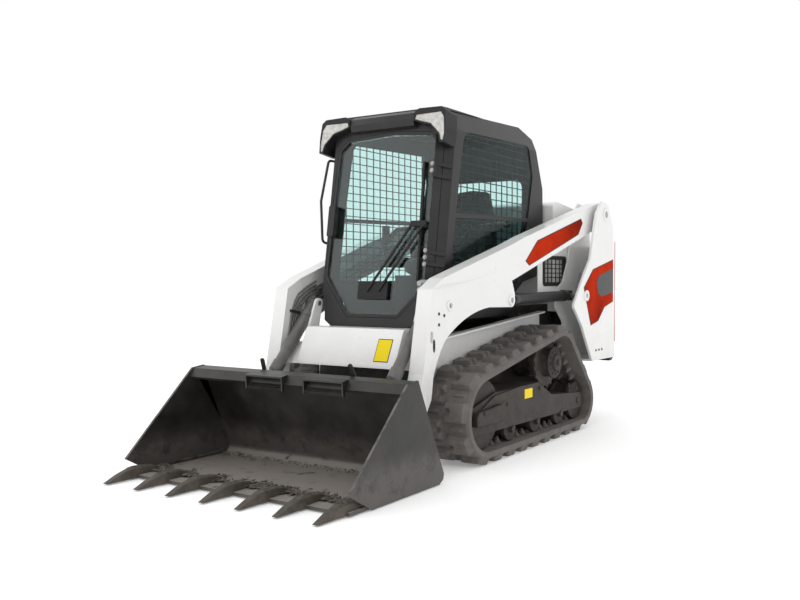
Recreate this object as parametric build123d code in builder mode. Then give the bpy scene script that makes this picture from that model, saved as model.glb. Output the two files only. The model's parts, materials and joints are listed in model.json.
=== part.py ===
"""Compact track loader with a toothed bucket, as separate welded pieces, castings and glass.

Millimetres.  +Z is up, the bucket points along -Y, +X is the machine's left side, and the
origin is on the ground under the middle of the machine's outline.
"""

import math
import os

from build123d import *

os.makedirs("parts", exist_ok=True)

# ---- driving dimensions ------------------------------------------------------------------
turn_gap = 0.05         # radial clearance of a pin that turns in a bore
fit_gap = 0.3           # clearance between pieces that only lie against each other

# tracks
frame_half = 385.0      # half width of the tub between the tracks
track_gap = 15.0        # between the tub and each belt
track_width = 300.0
track_x = frame_half + track_gap + track_width / 2     # centre line of each track
belt_thick = 38.0
lug_height = 32.0
lug_length = 84.0
lug_count = 24
front_idler_y, front_idler_r = -252.0, 190.0
rear_idler_y, rear_idler_r = 938.0, 120.0
sprocket_y, sprocket_z, sprocket_r = 638.0, 460.0, 165.0
roller_r = 66.0
roller_places = (65.0, 374.0, 690.0)
axle_r = 20.0

# chassis
frame_floor_z = 190.0   # ground clearance
frame_top_z = 700.0
frame_wall = 10.0
tower_inner_x = frame_half + 115.0
tower_outer_x = tower_inner_x + 188.0
tower_plate = 16.0
tail_y = 1562.0

# lift arm
pivot_y, pivot_z = 1308.0, 1415.0
pivot_pin_r = 24.0
arm_width = 90.0
arm_rear_y, arm_rear_x = pivot_y + 142.0, tower_inner_x + 145.0
arm_mid_y, arm_mid_x = 150.0, arm_rear_x - 40.0        # outer face where the splay eases off
arm_front_x = arm_mid_x - 71.0                         # outer face of the arm ahead of the knee
knee_y = -452.0
hinge_y, hinge_z = -747.0, 200.0
hinge_pin_r = 18.0
hinge_boss_r = 34.0
boss_high = 8.0         # that the round bosses stand off the plates

# lift cylinders
lift_x = tower_inner_x + 60.0
lift_base_y, lift_base_z = 988.0, 869.0
lift_rod_y, lift_rod_z = 132.0, 857.0
lift_barrel_r, lift_rod_r = 33.0, 19.0
lift_pin_r = 17.0
lift_barrel_length = 780.0
lift_rod_length = 810.0

# tilt cylinders
tilt_x = arm_front_x - arm_width - 44.0
tilt_base_y, tilt_base_z = -405.0, 840.0
tilt_rod_y, tilt_rod_z = -784.0, 388.0
tilt_barrel_r, tilt_rod_r = 31.0, 16.0
tilt_pin_r = 15.0
tilt_barrel_length = 474.0
tilt_rod_length = 476.0
eye_width = 40.0        # of every cylinder's eyes

# bucket
bucket_width = 1422.0
bucket_plate = 10.0
side_plate = 14.0
tooth_pitch = 219.0
tooth_count = 7
tooth_width = 54.0
tip_y = -1562.0

# cab
cab_half = arm_front_x - arm_width - 29.0
cab_wall = 32.0
sill_y, sill_z = -407.0, 700.0
front_lean = 8.25       # degrees that the front of the cab leans back
roof_top_z = 1976.0
front_top_z = roof_top_z - 131.0
roof_front_z, roof_rear_z = roof_top_z - 91.0, roof_top_z - 46.0
pillar_cut_x, pillar_cut_y = 61.0, 92.0                # bevel of the front pillars, across and back
glass_thick = 6.0
mesh_pitch_y, mesh_pitch_z = 66.0, 46.0
mesh_bar = 5.0

side_signs = (("left", 1), ("right", -1))

door_plane = Plane(
    origin=(0, sill_y, sill_z),
    x_dir=(1, 0, 0),
    z_dir=(0, -math.cos(math.radians(front_lean)), math.sin(math.radians(front_lean))),
)


def axis_plane(x, start, end):
    """Plane at start, square to the side-view line from start to end."""
    return Plane(origin=(x, *start), z_dir=(0, end[0] - start[0], end[1] - start[1]), x_dir=(1, 0, 0))


def span(start, end):
    """Distance between two side-view points."""
    return math.hypot(end[0] - start[0], end[1] - start[1])


# ---- tracks ------------------------------------------------------------------------------
belt_out = belt_thick + lug_height
front_idler_z = front_idler_r + belt_out
rear_idler_z = rear_idler_r + belt_out
wheel_table = (         # y, z, radius of the belt's inner face; in the order of travel
    (front_idler_y, front_idler_z, front_idler_r),
    (rear_idler_y, rear_idler_z, rear_idler_r),
    (sprocket_y, sprocket_z, sprocket_r),
)


def run_angle(wheel, after):
    """Direction that the straight belt run from one wheel to the next faces, in degrees."""
    step_y, step_z = after[0] - wheel[0], after[1] - wheel[1]
    lean = math.acos((wheel[2] - after[2]) / math.hypot(step_y, step_z))
    return math.degrees(math.atan2(step_z, step_y) - lean)


def draw_belt(standoff):
    """Closed outline round the wheels, standing off the belt's inner face."""
    for index, wheel in enumerate(wheel_table):
        before = wheel_table[index - 1]
        after = wheel_table[(index + 1) % len(wheel_table)]
        start, end = run_angle(before, wheel), run_angle(wheel, after)
        arc = CenterArc(wheel[:2], wheel[2] + standoff, start, (end - start) % 360)
        facing = Vector(1, 0, 0).rotate(Axis.Z, end)
        Line(arc @ 1, Vector(*after[:2]) + facing * (after[2] + standoff))


def track_row(x_from, x_to, phase):
    """Part of the belt's width with its own row of lugs in the outline."""
    with BuildLine() as rim:
        draw_belt(belt_thick)
    rim_wire = rim.wires()[0]
    with BuildPart() as row:
        with BuildSketch(Plane.YZ.offset(x_from)):
            with BuildLine():
                draw_belt(belt_thick)
            make_face()
            for index in range(lug_count):
                share = ((index + phase) / lug_count) % 1.0
                point, way = rim_wire.position_at(share), rim_wire.tangent_at(share)
                turn = 180 + math.degrees(math.atan2(way.Y, way.X))
                with Locations(Location((point.X, point.Y, 0), (0, 0, turn))):
                    Trapezoid(lug_length, 2 * lug_height, 78)
            with BuildLine():
                draw_belt(0)
            make_face(mode=Mode.SUBTRACT)
        extrude(amount=x_to - x_from)
    return row.part


for side, sign in side_signs:
    with BuildPart() as track:
        add(track_row(track_x - track_width / 2, track_x, 0.5))
        add(track_row(track_x, track_x + track_width / 2, 0.0))
        if sign < 0:
            mirror(about=Plane.YZ, mode=Mode.REPLACE)
    track.part.label = f"track_{side}"
    export_step(track.part, f"parts/track_{side}.step")

# channel over the rollers, between the two runs of the belt
frame_in_x, frame_out_x = track_x - 88.0, track_x + 102.0
carrier_plate = 12.0
idler_gap = 10.0
with BuildPart() as track_frames:
    with BuildSketch(Plane.YZ.offset(frame_in_x)):
        with BuildLine():
            Polyline(
                (-390, 160), (1000, 140), (1010, 235), (560, 272),
                (380, 365), (-130, 365), (-390, 300), close=True,
            )
        make_face()
        fillet(vertices(), 14)
    extrude(amount=frame_out_x - frame_in_x)
    with BuildSketch(Plane.YZ.offset(frame_in_x + carrier_plate)):
        with BuildLine():
            Polyline(
                (-60, 100), (1020, 100), (1020, 222), (900, 228), (555, 258),
                (370, 350), (-60, 350), close=True,
            )
        make_face()
        with Locations((front_idler_y, front_idler_z)):
            Circle(front_idler_r + idler_gap)
        with Locations((rear_idler_y, rear_idler_z)):
            Circle(rear_idler_r + idler_gap)
    extrude(amount=frame_out_x - frame_in_x - 2 * carrier_plate, mode=Mode.SUBTRACT)
    for stub_y in (0.0, 520.0):
        with BuildSketch(Plane.YZ.offset(frame_half)):
            with Locations((stub_y, 285)):
                Rectangle(110, 90)
        extrude(amount=frame_in_x - frame_half)
    with BuildSketch(Plane.YZ.offset(frame_in_x)):
        with Locations((front_idler_y, front_idler_z), (rear_idler_y, rear_idler_z)):
            Circle(axle_r)
        with Locations(*[(place, belt_out + roller_r) for place in roller_places]):
            Circle(axle_r)
    extrude(amount=frame_out_x - frame_in_x, mode=Mode.SUBTRACT)
    mirror(about=Plane.YZ)
track_frames.part.label = "track_frames"
export_step(track_frames.part, "parts/track_frames.step")


def wheel_solid(y, z, radius, x_from, x_to, flange):
    """Wheel turned about its axle, with a groove between its two rims."""
    with BuildPart() as wheel:
        with BuildSketch(Plane.XY.offset(z)):
            with BuildLine():
                Polyline(
                    (frame_in_x, y), (frame_in_x, y + axle_r), (x_from, y + axle_r), (x_from, y + radius),
                    (x_from + 30, y + radius), (x_from + 34, y + radius - flange),
                    (x_to - 34, y + radius - flange), (x_to - 30, y + radius), (x_to, y + radius),
                    (x_to, y + axle_r), (frame_out_x + 6, y + axle_r), (frame_out_x + 6, y), close=True,
                )
            make_face()
        revolve(axis=Axis((0, y, z), (1, 0, 0)))
    return wheel.part


wheel_gap = 6.0
with BuildPart() as idlers:
    for y, z, radius in wheel_table[:2]:
        add(wheel_solid(y, z, radius - fit_gap, frame_in_x + carrier_plate + wheel_gap,
                        frame_out_x - carrier_plate - wheel_gap, 14))
    mirror(about=Plane.YZ)
idlers.part.label = "idlers"
export_step(idlers.part, "parts/idlers.step")

with BuildPart() as rollers:
    for place in roller_places:
        add(wheel_solid(place, belt_out + roller_r, roller_r, frame_in_x + carrier_plate + wheel_gap,
                        frame_out_x - carrier_plate - wheel_gap, 10))
    mirror(about=Plane.YZ)
rollers.part.label = "rollers"
export_step(rollers.part, "parts/rollers.step")

# toothed ring on its drive housing
sprocket_teeth = 17
sprocket_root = sprocket_r - 16
hub_r = 100.0
with BuildPart() as sprockets:
    with BuildSketch(Plane.YZ.offset(track_x - 22)):
        with Locations((sprocket_y, sprocket_z)):
            Circle(sprocket_root)
            with PolarLocations(sprocket_root, sprocket_teeth):
                Rectangle(26, 22)
    extrude(amount=44)
    with BuildSketch(Plane.YZ.offset(frame_half)):
        with Locations((sprocket_y, sprocket_z)):
            Circle(hub_r)
    extrude(amount=245, taper=3)
    mirror(about=Plane.YZ)
sprockets.part.label = "sprockets"
export_step(sprockets.part, "parts/sprockets.step")

# ---- chassis -----------------------------------------------------------------------------
tub_front_y, tub_rear_y = -352.0, 1480.0


def cab_bottom_z(y):
    """Height of the cab's underside, which rises a little to the rear."""
    return sill_z + (y - sill_y) * 20 / 1027


rear_half = tower_inner_x - fit_gap
with BuildPart() as main_frame:
    with BuildSketch(Plane.YZ):
        with BuildLine():
            Polyline(
                (tub_front_y, frame_top_z - 12), (tub_front_y - 20, 330), (tub_front_y + 90, frame_floor_z),
                (1300, frame_floor_z), (tub_rear_y, 400), (tub_rear_y, 760), (620, 760),
                (620, frame_top_z - 12), close=True,
            )
        make_face()
    extrude(amount=frame_half, both=True)
    with BuildSketch(Plane.YZ):
        with BuildLine():
            Polyline(
                (tub_front_y + 12, 800), (tub_front_y, 335), (tub_front_y + 100, frame_floor_z + 12),
                (1295, frame_floor_z + 12), (tub_rear_y - 12, 410), (tub_rear_y - 12, 800), close=True,
            )
        make_face()
    extrude(amount=frame_half - frame_wall, both=True, mode=Mode.SUBTRACT)
    for rail_y in (-280, 500):
        with BuildSketch(Plane.YZ):
            with BuildLine():
                Polyline(
                    (rail_y, 650), (rail_y + 60, 650), (rail_y + 60, cab_bottom_z(rail_y + 60) - fit_gap),
                    (rail_y, cab_bottom_z(rail_y) - fit_gap), close=True,
                )
            make_face()
        extrude(amount=frame_half - frame_wall + 1, both=True)
    for sign in (1, -1):
        with BuildSketch(Plane.YZ.offset(sign * frame_half)):
            with Locations((1300, 620)):
                Rectangle(340, 260)
        extrude(amount=sign * (rear_half - frame_half))
main_frame.part.label = "main_frame"
export_step(main_frame.part, "parts/main_frame.step")

# fenders: side plates of the tub, with a narrow flange over each track
flange_x = frame_half + 55.0
flange_slope = 0.0864
fender_front_y, fender_rear_y = -360.0, 888.0


def flange_z(y):
    """Height of the fender's flange, which rises to the rear."""
    return 690 + flange_slope * y


with BuildPart() as fenders:
    with BuildSketch(Plane.YZ.offset(frame_half + fit_gap)):
        with BuildLine():
            Polyline(
                (fender_front_y, flange_z(fender_front_y)), (fender_front_y, 400), (250, 470), (520, 575),
                (fender_rear_y, 610), (fender_rear_y, flange_z(fender_rear_y)), close=True,
            )
        make_face()
    extrude(amount=12)
    with BuildSketch(Plane.YZ.offset(frame_half + fit_gap)):
        with BuildLine():
            Polyline(
                (fender_front_y, flange_z(fender_front_y)), (fender_rear_y, flange_z(fender_rear_y)),
                (fender_rear_y, flange_z(fender_rear_y) - 12), (fender_front_y, flange_z(fender_front_y) - 12),
                close=True,
            )
        make_face()
    extrude(amount=flange_x - frame_half)
    mirror(about=Plane.YZ)
fenders.part.label = "fenders"
export_step(fenders.part, "parts/fenders.step")

# towers: a pair of plates each side, joined at the back and the bottom
tower_rear_y = 1483.0


def tower_back(z):
    """Y of the tower's rear edge, which leans forward with height."""
    return tower_rear_y - (z - 431) * 39 / 899


with BuildPart() as towers:
    with BuildSketch(Plane.YZ.offset(tower_outer_x - tower_plate)):
        with BuildLine():
            Polyline(
                (tower_rear_y, 431), (1091, 433), (924, 677), (800, 800), (808, 820), (948, 992), (1055, 1108),
                (1116, 1296), (pivot_y - 150, pivot_z), (pivot_y - 60, pivot_z + 88),
                (pivot_y + 50, pivot_z + 70), (1444, 1330), close=True,
            )
        make_face()
        fillet(vertices(), 18)
    extrude(amount=tower_plate)
    for y, z, radius in ((pivot_y, pivot_z, pivot_pin_r + 18), (lift_base_y, lift_base_z, lift_pin_r + 18)):
        with BuildSketch(Plane.YZ.offset(tower_outer_x - 1)):
            with Locations((y, z)):
                Circle(radius)
        extrude(amount=boss_high + 1)
    with BuildSketch(Plane.YZ.offset(tower_inner_x)):
        with BuildLine():
            Polyline(
                (tower_rear_y, 431), (1091, 433), (1000, 700), (900, 790), (900, 900), (1010, 960), (1090, 1100),
                (1140, 1296), (pivot_y - 130, pivot_z), (pivot_y - 60, pivot_z + 80),
                (pivot_y + 50, pivot_z + 66), (1444, 1330), close=True,
            )
        make_face()
        fillet(vertices(), 18)
        with Locations(Location((1275, 950, 0), (0, 0, 65))):
            SlotOverall(150, 84, mode=Mode.SUBTRACT)
    extrude(amount=12)
    with BuildSketch(Plane.YZ.offset(tower_inner_x + 6)):
        with BuildLine():
            Polyline(
                (tower_rear_y, 431), (tower_rear_y - 12, 431), (tower_back(1200) - 12, 1200),
                (tower_back(1200), 1200), close=True,
            )
        make_face()
        with BuildLine():
            Polyline((tower_rear_y, 431), (tower_rear_y, 445), (1084, 445), (1091, 431), close=True)
        make_face()
    extrude(amount=tower_outer_x - tower_inner_x - 16)
    with BuildSketch(Plane.YZ.offset(tower_inner_x - 10)):
        with Locations((pivot_y, pivot_z)):
            Circle(pivot_pin_r)
        with Locations((lift_base_y, lift_base_z)):
            Circle(lift_pin_r)
    extrude(amount=240, mode=Mode.SUBTRACT)
    mirror(about=Plane.YZ)
towers.part.label = "towers"
export_step(towers.part, "parts/towers.step")

with BuildPart() as chassis_pins:
    for y, z, radius in ((pivot_y, pivot_z, pivot_pin_r), (lift_base_y, lift_base_z, lift_pin_r)):
        with BuildSketch(Plane.YZ.offset(tower_inner_x - 6)):
            with Locations((y, z)):
                Circle(radius)
        extrude(amount=tower_outer_x - tower_inner_x + 12)
    mirror(about=Plane.YZ)
chassis_pins.part.label = "chassis_pins"
export_step(chassis_pins.part, "parts/chassis_pins.step")

# side covers between cab and tower, each with a square vent and an oval hole
cover_x = tower_inner_x - 14.0
vent_y, vent_z, vent_length, vent_height = 915.0, 1030.0, 340.0, 196.0
with BuildPart() as side_covers:
    with BuildSketch(Plane.YZ.offset(cover_x)):
        with BuildLine():
            Polyline(
                (680, 860), (680, 1225), (1180, 1380), (1180, 1180), (1110, 940), (1010, 845), close=True,
            )
        make_face()
        fillet(vertices(), 12)
        with Locations((vent_y, vent_z)):
            RectangleRounded(vent_length, vent_height, 24, mode=Mode.SUBTRACT)
    extrude(amount=8)
    with BuildSketch(Plane.YZ.offset(frame_half)):
        with Locations((1090, 810)):
            Rectangle(120, 100)
    extrude(amount=cover_x + 8 - frame_half)
    mirror(about=Plane.YZ)
side_covers.part.label = "side_covers"
export_step(side_covers.part, "parts/side_covers.step")

grille_rim = 24.0
with BuildPart() as side_grilles:
    with BuildSketch(Plane.YZ.offset(cover_x - 6)):
        with Locations((vent_y, vent_z)):
            RectangleRounded(vent_length - 2 * fit_gap, vent_height - 2 * fit_gap, 24)
            Rectangle(vent_length - 2 * grille_rim, vent_height - 2 * grille_rim, mode=Mode.SUBTRACT)
    extrude(amount=20)
    with BuildSketch(Plane.YZ.offset(cover_x)):
        with Locations((vent_y, vent_z)):
            with GridLocations(58, 0, 4, 1):
                Rectangle(6, vent_height - 2 * grille_rim + 4)
    extrude(amount=5)
    with BuildSketch(Plane.YZ.offset(cover_x + 5)):
        with Locations((vent_y, vent_z)):
            with GridLocations(0, 29, 1, 4):
                Rectangle(vent_length - 2 * grille_rim + 4, 6)
    extrude(amount=5)
    mirror(about=Plane.YZ)
side_grilles.part.label = "side_grilles"
export_step(side_grilles.part, "parts/side_grilles.step")

# engine and cooler, seen through the vents
with BuildPart() as engine_block:
    with Locations((0, 970, frame_floor_z + 12)):
        Box(520, 640, 600, align=(Align.CENTER, Align.CENTER, Align.MIN))
engine_block.part.label = "engine_block"
export_step(engine_block.part, "parts/engine_block.step")

# rear body behind the cab, with a lid over the cooler
body_half = tower_inner_x - 30.0
body_front_y, body_rear_y = 940.0, 1440.0
with BuildPart() as rear_body:
    with BuildSketch(Plane.YZ):
        with BuildLine():
            Polyline(
                (body_front_y, 860), (body_front_y, 1470), (1000, 1490), (body_rear_y, 1440),
                (body_rear_y + 34, 860), close=True,
            )
        make_face()
        fillet(vertices().sort_by(Axis.Z)[-3:], 20)
    extrude(amount=body_half, both=True)
    with BuildSketch(Plane.YZ):
        with BuildLine():
            Polyline(
                (body_front_y + 14, 840), (body_front_y + 14, 1440), (1000, 1478), (1420, 1430),
                (1520, 1300), (1520, 840), close=True,
            )
        make_face()
    extrude(amount=body_half - 12, both=True, mode=Mode.SUBTRACT)
    with BuildSketch(Plane.XY.offset(1400)):
        with Locations((0, 1215)):
            Rectangle(642, 332)
    extrude(amount=150, mode=Mode.SUBTRACT)
    with BuildSketch(Plane.YZ.offset(-body_half)):
        with BuildLine():
            Polyline((1120, 860), (1120, 1300), (1500, 1300), (1500, 860), close=True)
        make_face()
    extrude(amount=2 * body_half, mode=Mode.SUBTRACT)
rear_body.part.label = "rear_body"
export_step(rear_body.part, "parts/rear_body.step")

lid_hinge_x, lid_hinge_y, lid_hinge_z = 220.0, 1064.0, 1483.0
lid_pin_r = 5.0
with BuildPart() as rear_lid:
    with BuildSketch(Plane.XY.offset(1462)):
        with Locations((0, 1215)):
            RectangleRounded(632, 322, 20)
            with GridLocations(0, 34, 1, 8):
                Rectangle(540, 18, mode=Mode.SUBTRACT)
    extrude(amount=12)
    for sign in (1, -1):
        with BuildSketch(Plane.YZ.offset(sign * lid_hinge_x - 20)):
            with Locations((lid_hinge_y, lid_hinge_z)):
                Circle(9)
                Circle(lid_pin_r + turn_gap, mode=Mode.SUBTRACT)
            with Locations((lid_hinge_y + 8, lid_hinge_z - 11)):
                Rectangle(14, 8)
        extrude(amount=40)
rear_lid.part.label = "rear_lid"
export_step(rear_lid.part, "parts/rear_lid.step")

with BuildPart() as lid_hinges:
    for sign in (1, -1):
        for ear_x in (sign * lid_hinge_x - 31, sign * lid_hinge_x + 21):
            with BuildSketch(Plane.YZ.offset(ear_x)):
                with BuildLine():
                    Polyline(
                        (1018, 1488.5), (1049, 1485), (lid_hinge_y - 6, lid_hinge_z - 5),
                        (lid_hinge_y, lid_hinge_z + 8), (1018, 1499), close=True,
                    )
                make_face()
                with Locations((lid_hinge_y, lid_hinge_z)):
                    Circle(8)
            extrude(amount=10)
        with BuildSketch(Plane.YZ.offset(sign * lid_hinge_x - 31)):
            with Locations((lid_hinge_y, lid_hinge_z)):
                Circle(lid_pin_r)
        extrude(amount=62)
lid_hinges.part.label = "lid_hinges"
export_step(lid_hinges.part, "parts/lid_hinges.step")

# tailgate with its lamps, and the bumper under it
gate_half, gate_y, gate_depth = tower_outer_x - 33.0, 1489.0, 52.0
gate_low_z, gate_high_z = 530.0, 1205.0
gate_hinge_x, gate_hinge_y = 16.0 - tower_outer_x, 1550.0
gate_hinge_lows = (700.0, 980.0)
gate_pin_r = 6.0
with BuildPart() as tailgate:
    with BuildSketch(Plane.XZ.offset(-gate_y - gate_depth)):
        with Locations((0, (gate_low_z + gate_high_z) / 2)):
            RectangleRounded(2 * gate_half, gate_high_z - gate_low_z, 40)
    extrude(amount=gate_depth)
    with BuildSketch(Plane.XZ.offset(-gate_y - gate_depth - 1)):
        with Locations((0, 900)):
            with GridLocations(0, 44, 1, 8):
                Rectangle(560, 22)
        with Locations((560, 1000), (-560, 1000)):
            RectangleRounded(90, 200, 20)
    extrude(amount=gate_depth, mode=Mode.SUBTRACT)
    for low_z in gate_hinge_lows:
        with BuildSketch(Plane.XY.offset(low_z)):
            with Locations((gate_hinge_x, gate_hinge_y)):
                Circle(11)
            with Locations((gate_hinge_x + 17, gate_hinge_y - 5)):
                Rectangle(34, 10)
            with Locations((gate_hinge_x, gate_hinge_y)):
                Circle(gate_pin_r + turn_gap, mode=Mode.SUBTRACT)
        extrude(amount=50)
tailgate.part.label = "tailgate"
export_step(tailgate.part, "parts/tailgate.step")

with BuildPart() as gate_hinges:
    for low_z in gate_hinge_lows:
        for ear_z in (low_z - 12, low_z + 51):
            with BuildSketch(Plane.XY.offset(ear_z)):
                with BuildLine():
                    Polyline(
                        (gate_hinge_x - 16, tower_back(ear_z) + fit_gap),
                        (gate_hinge_x + 8, tower_back(ear_z) + fit_gap),
                        (gate_hinge_x + 10, gate_hinge_y - 5), (gate_hinge_x - 11, gate_hinge_y), close=True,
                    )
                make_face()
                with Locations((gate_hinge_x, gate_hinge_y)):
                    Circle(11)
            extrude(amount=11)
        with BuildSketch(Plane.XY.offset(low_z - 12)):
            with Locations((gate_hinge_x, gate_hinge_y)):
                Circle(gate_pin_r)
        extrude(amount=74)
gate_hinges.part.label = "gate_hinges"
export_step(gate_hinges.part, "parts/gate_hinges.step")

with BuildPart() as tail_lamps:
    with BuildSketch(Plane.XZ.offset(-gate_y - gate_depth - 4)):
        with Locations((560, 1000), (-560, 1000)):
            RectangleRounded(89.4, 199.4, 20)
    extrude(amount=26)
tail_lamps.part.label = "tail_lamps"
export_step(tail_lamps.part, "parts/tail_lamps.step")

with BuildPart() as rear_bumper:
    with BuildSketch(Plane.YZ):
        with BuildLine():
            Polyline(
                (tower_rear_y + fit_gap, 400), (tower_rear_y + fit_gap, 516), (tail_y - 16, 516), (tail_y, 480),
                (tail_y, 430), (tail_y - 40, 400), close=True,
            )
        make_face()
        fillet(vertices().sort_by(Axis.X)[-2:], 8)
    extrude(amount=tower_outer_x - 38, both=True)
rear_bumper.part.label = "rear_bumper"
export_step(rear_bumper.part, "parts/rear_bumper.step")

# ---- cab ---------------------------------------------------------------------------------
cab_rear_y = 896.0
door_bottom = 68.0      # measured up the sloping front from the sill
door_top = (front_top_z - sill_z) / math.cos(math.radians(front_lean)) - 45.0
shelf_y, shelf_z, shelf_rear_z = 640.0, 960.0, 1010.0  # step of the cab's floor behind the seat
shelf_slope = (shelf_rear_z - shelf_z) / (cab_rear_y + 10 - shelf_y)
cab_split_z = 1004.0    # weld between the cab's tub and its upper frame
far = 1600.0            # past the cab in any direction


def front_point(height, out):
    """Side-view point at a height up the cab's sloping front and a distance before it."""
    point = door_plane.from_local_coords((0, height, out))
    return point.Y, point.Z


def cab_side_face(inset):
    """Side view of the cab's shell, pulled in by inset."""
    top_y = front_point((front_top_z - sill_z) / math.cos(math.radians(front_lean)), 0)[0]
    with BuildSketch(Plane.YZ) as side_view:
        with BuildLine():
            Polyline(
                (sill_y, sill_z), (620, cab_bottom_z(620)), (shelf_y, shelf_z), (cab_rear_y + 10, shelf_rear_z),
                (cab_rear_y, 1565), (777, roof_rear_z - 56), (620, roof_rear_z), (top_y + 60, roof_front_z + 12),
                (top_y, front_top_z), close=True,
            )
        make_face()
        fillet(vertices().group_by(Axis.Y)[-1], 30)
        if inset:
            offset(amount=-inset, mode=Mode.REPLACE)
    return side_view.sketch


def cab_front_face(inset):
    """Front view of the cab's shell, with the corners cut back under the door."""
    half = cab_half - inset
    low = sill_z - 20 + inset
    with BuildSketch(Plane.XZ.offset(-1000)) as front_view:
        with BuildLine():
            Polyline(
                (0, low), (cab_half - 195, low), (cab_half - 97 - inset, 745), (cab_half - 83 - inset, 868),
                (cab_half - 55 - inset, 900), (half - 8, 960), (half, 1060), (half, roof_top_z - 176),
                (half - 45, roof_top_z + 14), (0, roof_top_z + 14),
            )
            mirror(about=Plane.YZ)
        make_face()
    return front_view.sketch


def cab_plan_face(inset):
    """Section square to the sloping front, with bevelled front pillars, pulled in by inset."""
    with BuildSketch(Plane(door_plane.origin, x_dir=(1, 0, 0), z_dir=door_plane.y_dir)) as plan_view:
        with BuildLine():
            Polyline(
                (0, 0), (cab_half - pillar_cut_x, 0), (cab_half, pillar_cut_y), (cab_half, far), (0, far),
            )
            mirror(about=Plane.YZ)
        make_face()
        if inset:
            offset(amount=-inset, mode=Mode.REPLACE)
    return plan_view.sketch


def side_opening(inset):
    """Face of the opening in the cab's side, pulled in by inset."""
    with BuildSketch() as opening:
        with BuildLine():
            Polyline(
                (-216, 950), (-137, 1433), (-73, roof_top_z - 220), (-40, roof_top_z - 176),
                (60, roof_top_z - 172), (700, roof_top_z - 152), (757, roof_top_z - 340), (686, 1336),
                (610, 1140), (560, 950), close=True,
            )
        make_face()
        fillet(vertices(), 40)
        if inset:
            offset(amount=-inset, mode=Mode.REPLACE)
    return opening.sketch


def door_face(inset):
    """Outline of the front door, seen square to the sloping front, pulled in by inset."""
    with BuildSketch() as door_view:
        with BuildLine():
            Polyline(
                (253 - cab_half, door_bottom), (cab_half - 223, door_bottom), (cab_half - 34, 250),
                (cab_half - 34, door_top - 82), (cab_half - 85, door_top - 22), (60, door_top),
                (160 - cab_half, door_top - 18), (91 - cab_half, door_top - 76), (69 - cab_half, 290), close=True,
            )
        make_face()
        fillet(vertices(), 40)
        if inset:
            offset(amount=-inset, mode=Mode.REPLACE)
    return door_view.sketch


def cab_shell():
    """Welded shell of the cab, open at the door, the sides, the rear window and the roof."""
    with BuildPart() as shell:
        extrude(cab_side_face(0), amount=cab_half + 5, both=True)
        extrude(cab_front_face(0), amount=2 * far, both=True, mode=Mode.INTERSECT)
        extrude(cab_plan_face(0), amount=far, both=True, mode=Mode.INTERSECT)
        with BuildPart(mode=Mode.SUBTRACT):
            extrude(cab_side_face(cab_wall), amount=cab_half + 5, both=True)
            extrude(cab_front_face(cab_wall), amount=2 * far, both=True, mode=Mode.INTERSECT)
            extrude(cab_plan_face(cab_wall), amount=far, both=True, mode=Mode.INTERSECT)
        with BuildSketch(Plane.YZ):
            add(side_opening(0))
        extrude(amount=cab_half + 20, both=True, mode=Mode.SUBTRACT)
        with BuildSketch(door_plane.offset(20)):
            add(door_face(-2))
        extrude(amount=-150, mode=Mode.SUBTRACT)
        with BuildSketch(Plane.XZ.offset(-cab_rear_y - 60)):
            with Locations((0, 1420)):
                RectangleRounded(560, 420, 40)
        extrude(amount=200, mode=Mode.SUBTRACT)
        with BuildSketch(Plane.XY.offset(roof_top_z - 196)):
            with Locations((0, 227)):
                Rectangle(620, 844)
        extrude(amount=300, mode=Mode.SUBTRACT)
    return shell.part


with BuildPart() as cab_base:
    add(cab_shell())
    with BuildSketch(Plane.XY.offset(cab_split_z)):
        Rectangle(2 * far, 2 * far)
    extrude(amount=far, mode=Mode.SUBTRACT)
cab_base.part.label = "cab_base"
export_step(cab_base.part, "parts/cab_base.step")

belt_low_z, belt_high_z = 1316.0, 1340.0   # rail across each side opening
with BuildPart() as cab_frame:
    add(cab_shell())
    with BuildSketch(Plane.XY.offset(cab_split_z + fit_gap)):
        Rectangle(2 * far, 2 * far)
    extrude(amount=-far, mode=Mode.SUBTRACT)
    for sign in (1, -1):
        with BuildSketch(Plane.YZ.offset(sign * (cab_half - 5))):
            with BuildLine():
                Polyline(
                    (-175, belt_low_z), (700, belt_low_z + 22), (700, belt_high_z + 22), (-170, belt_high_z),
                    close=True,
                )
            make_face()
        extrude(amount=sign * 5)
cab_frame.part.label = "cab_frame"
export_step(cab_frame.part, "parts/cab_frame.step")

brow_half = cab_half - 195.0
with BuildPart() as cab_roof:
    with BuildSketch(Plane.YZ):
        with BuildLine():
            Polyline(
                (-205, roof_front_z + 12 + fit_gap), (615, roof_rear_z + fit_gap), (600, roof_top_z - 14),
                (480, roof_top_z), (20, roof_top_z), (-190, roof_top_z - 51), close=True,
            )
        make_face()
    extrude(amount=cab_half, both=True)
    with BuildSketch(Plane.XZ.offset(-700)):
        with BuildLine():
            arch = ThreePointArc(
                (-cab_half + 20, roof_top_z - 66), (0, roof_top_z), (cab_half - 20, roof_top_z - 66),
            )
            Polyline(
                arch @ 1, (cab_half - 12, roof_front_z), (12 - cab_half, roof_front_z), arch @ 0,
            )
        make_face()
    extrude(amount=1000, mode=Mode.INTERSECT)
    with BuildSketch(Plane.YZ):
        with BuildLine():
            Polyline(
                front_point(door_top + 8, fit_gap), front_point(door_top + 14, 30),
                front_point(door_top + 48, 42), front_point(door_top + 82, 38),
                front_point(door_top + 104, 10), front_point(door_top + 118, -34),
                front_point(door_top + 106, -40), front_point(door_top + 46, fit_gap), close=True,
            )
        make_face()
    extrude(amount=brow_half, both=True)
cab_roof.part.label = "cab_roof"
export_step(cab_roof.part, "parts/cab_roof.step")

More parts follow.
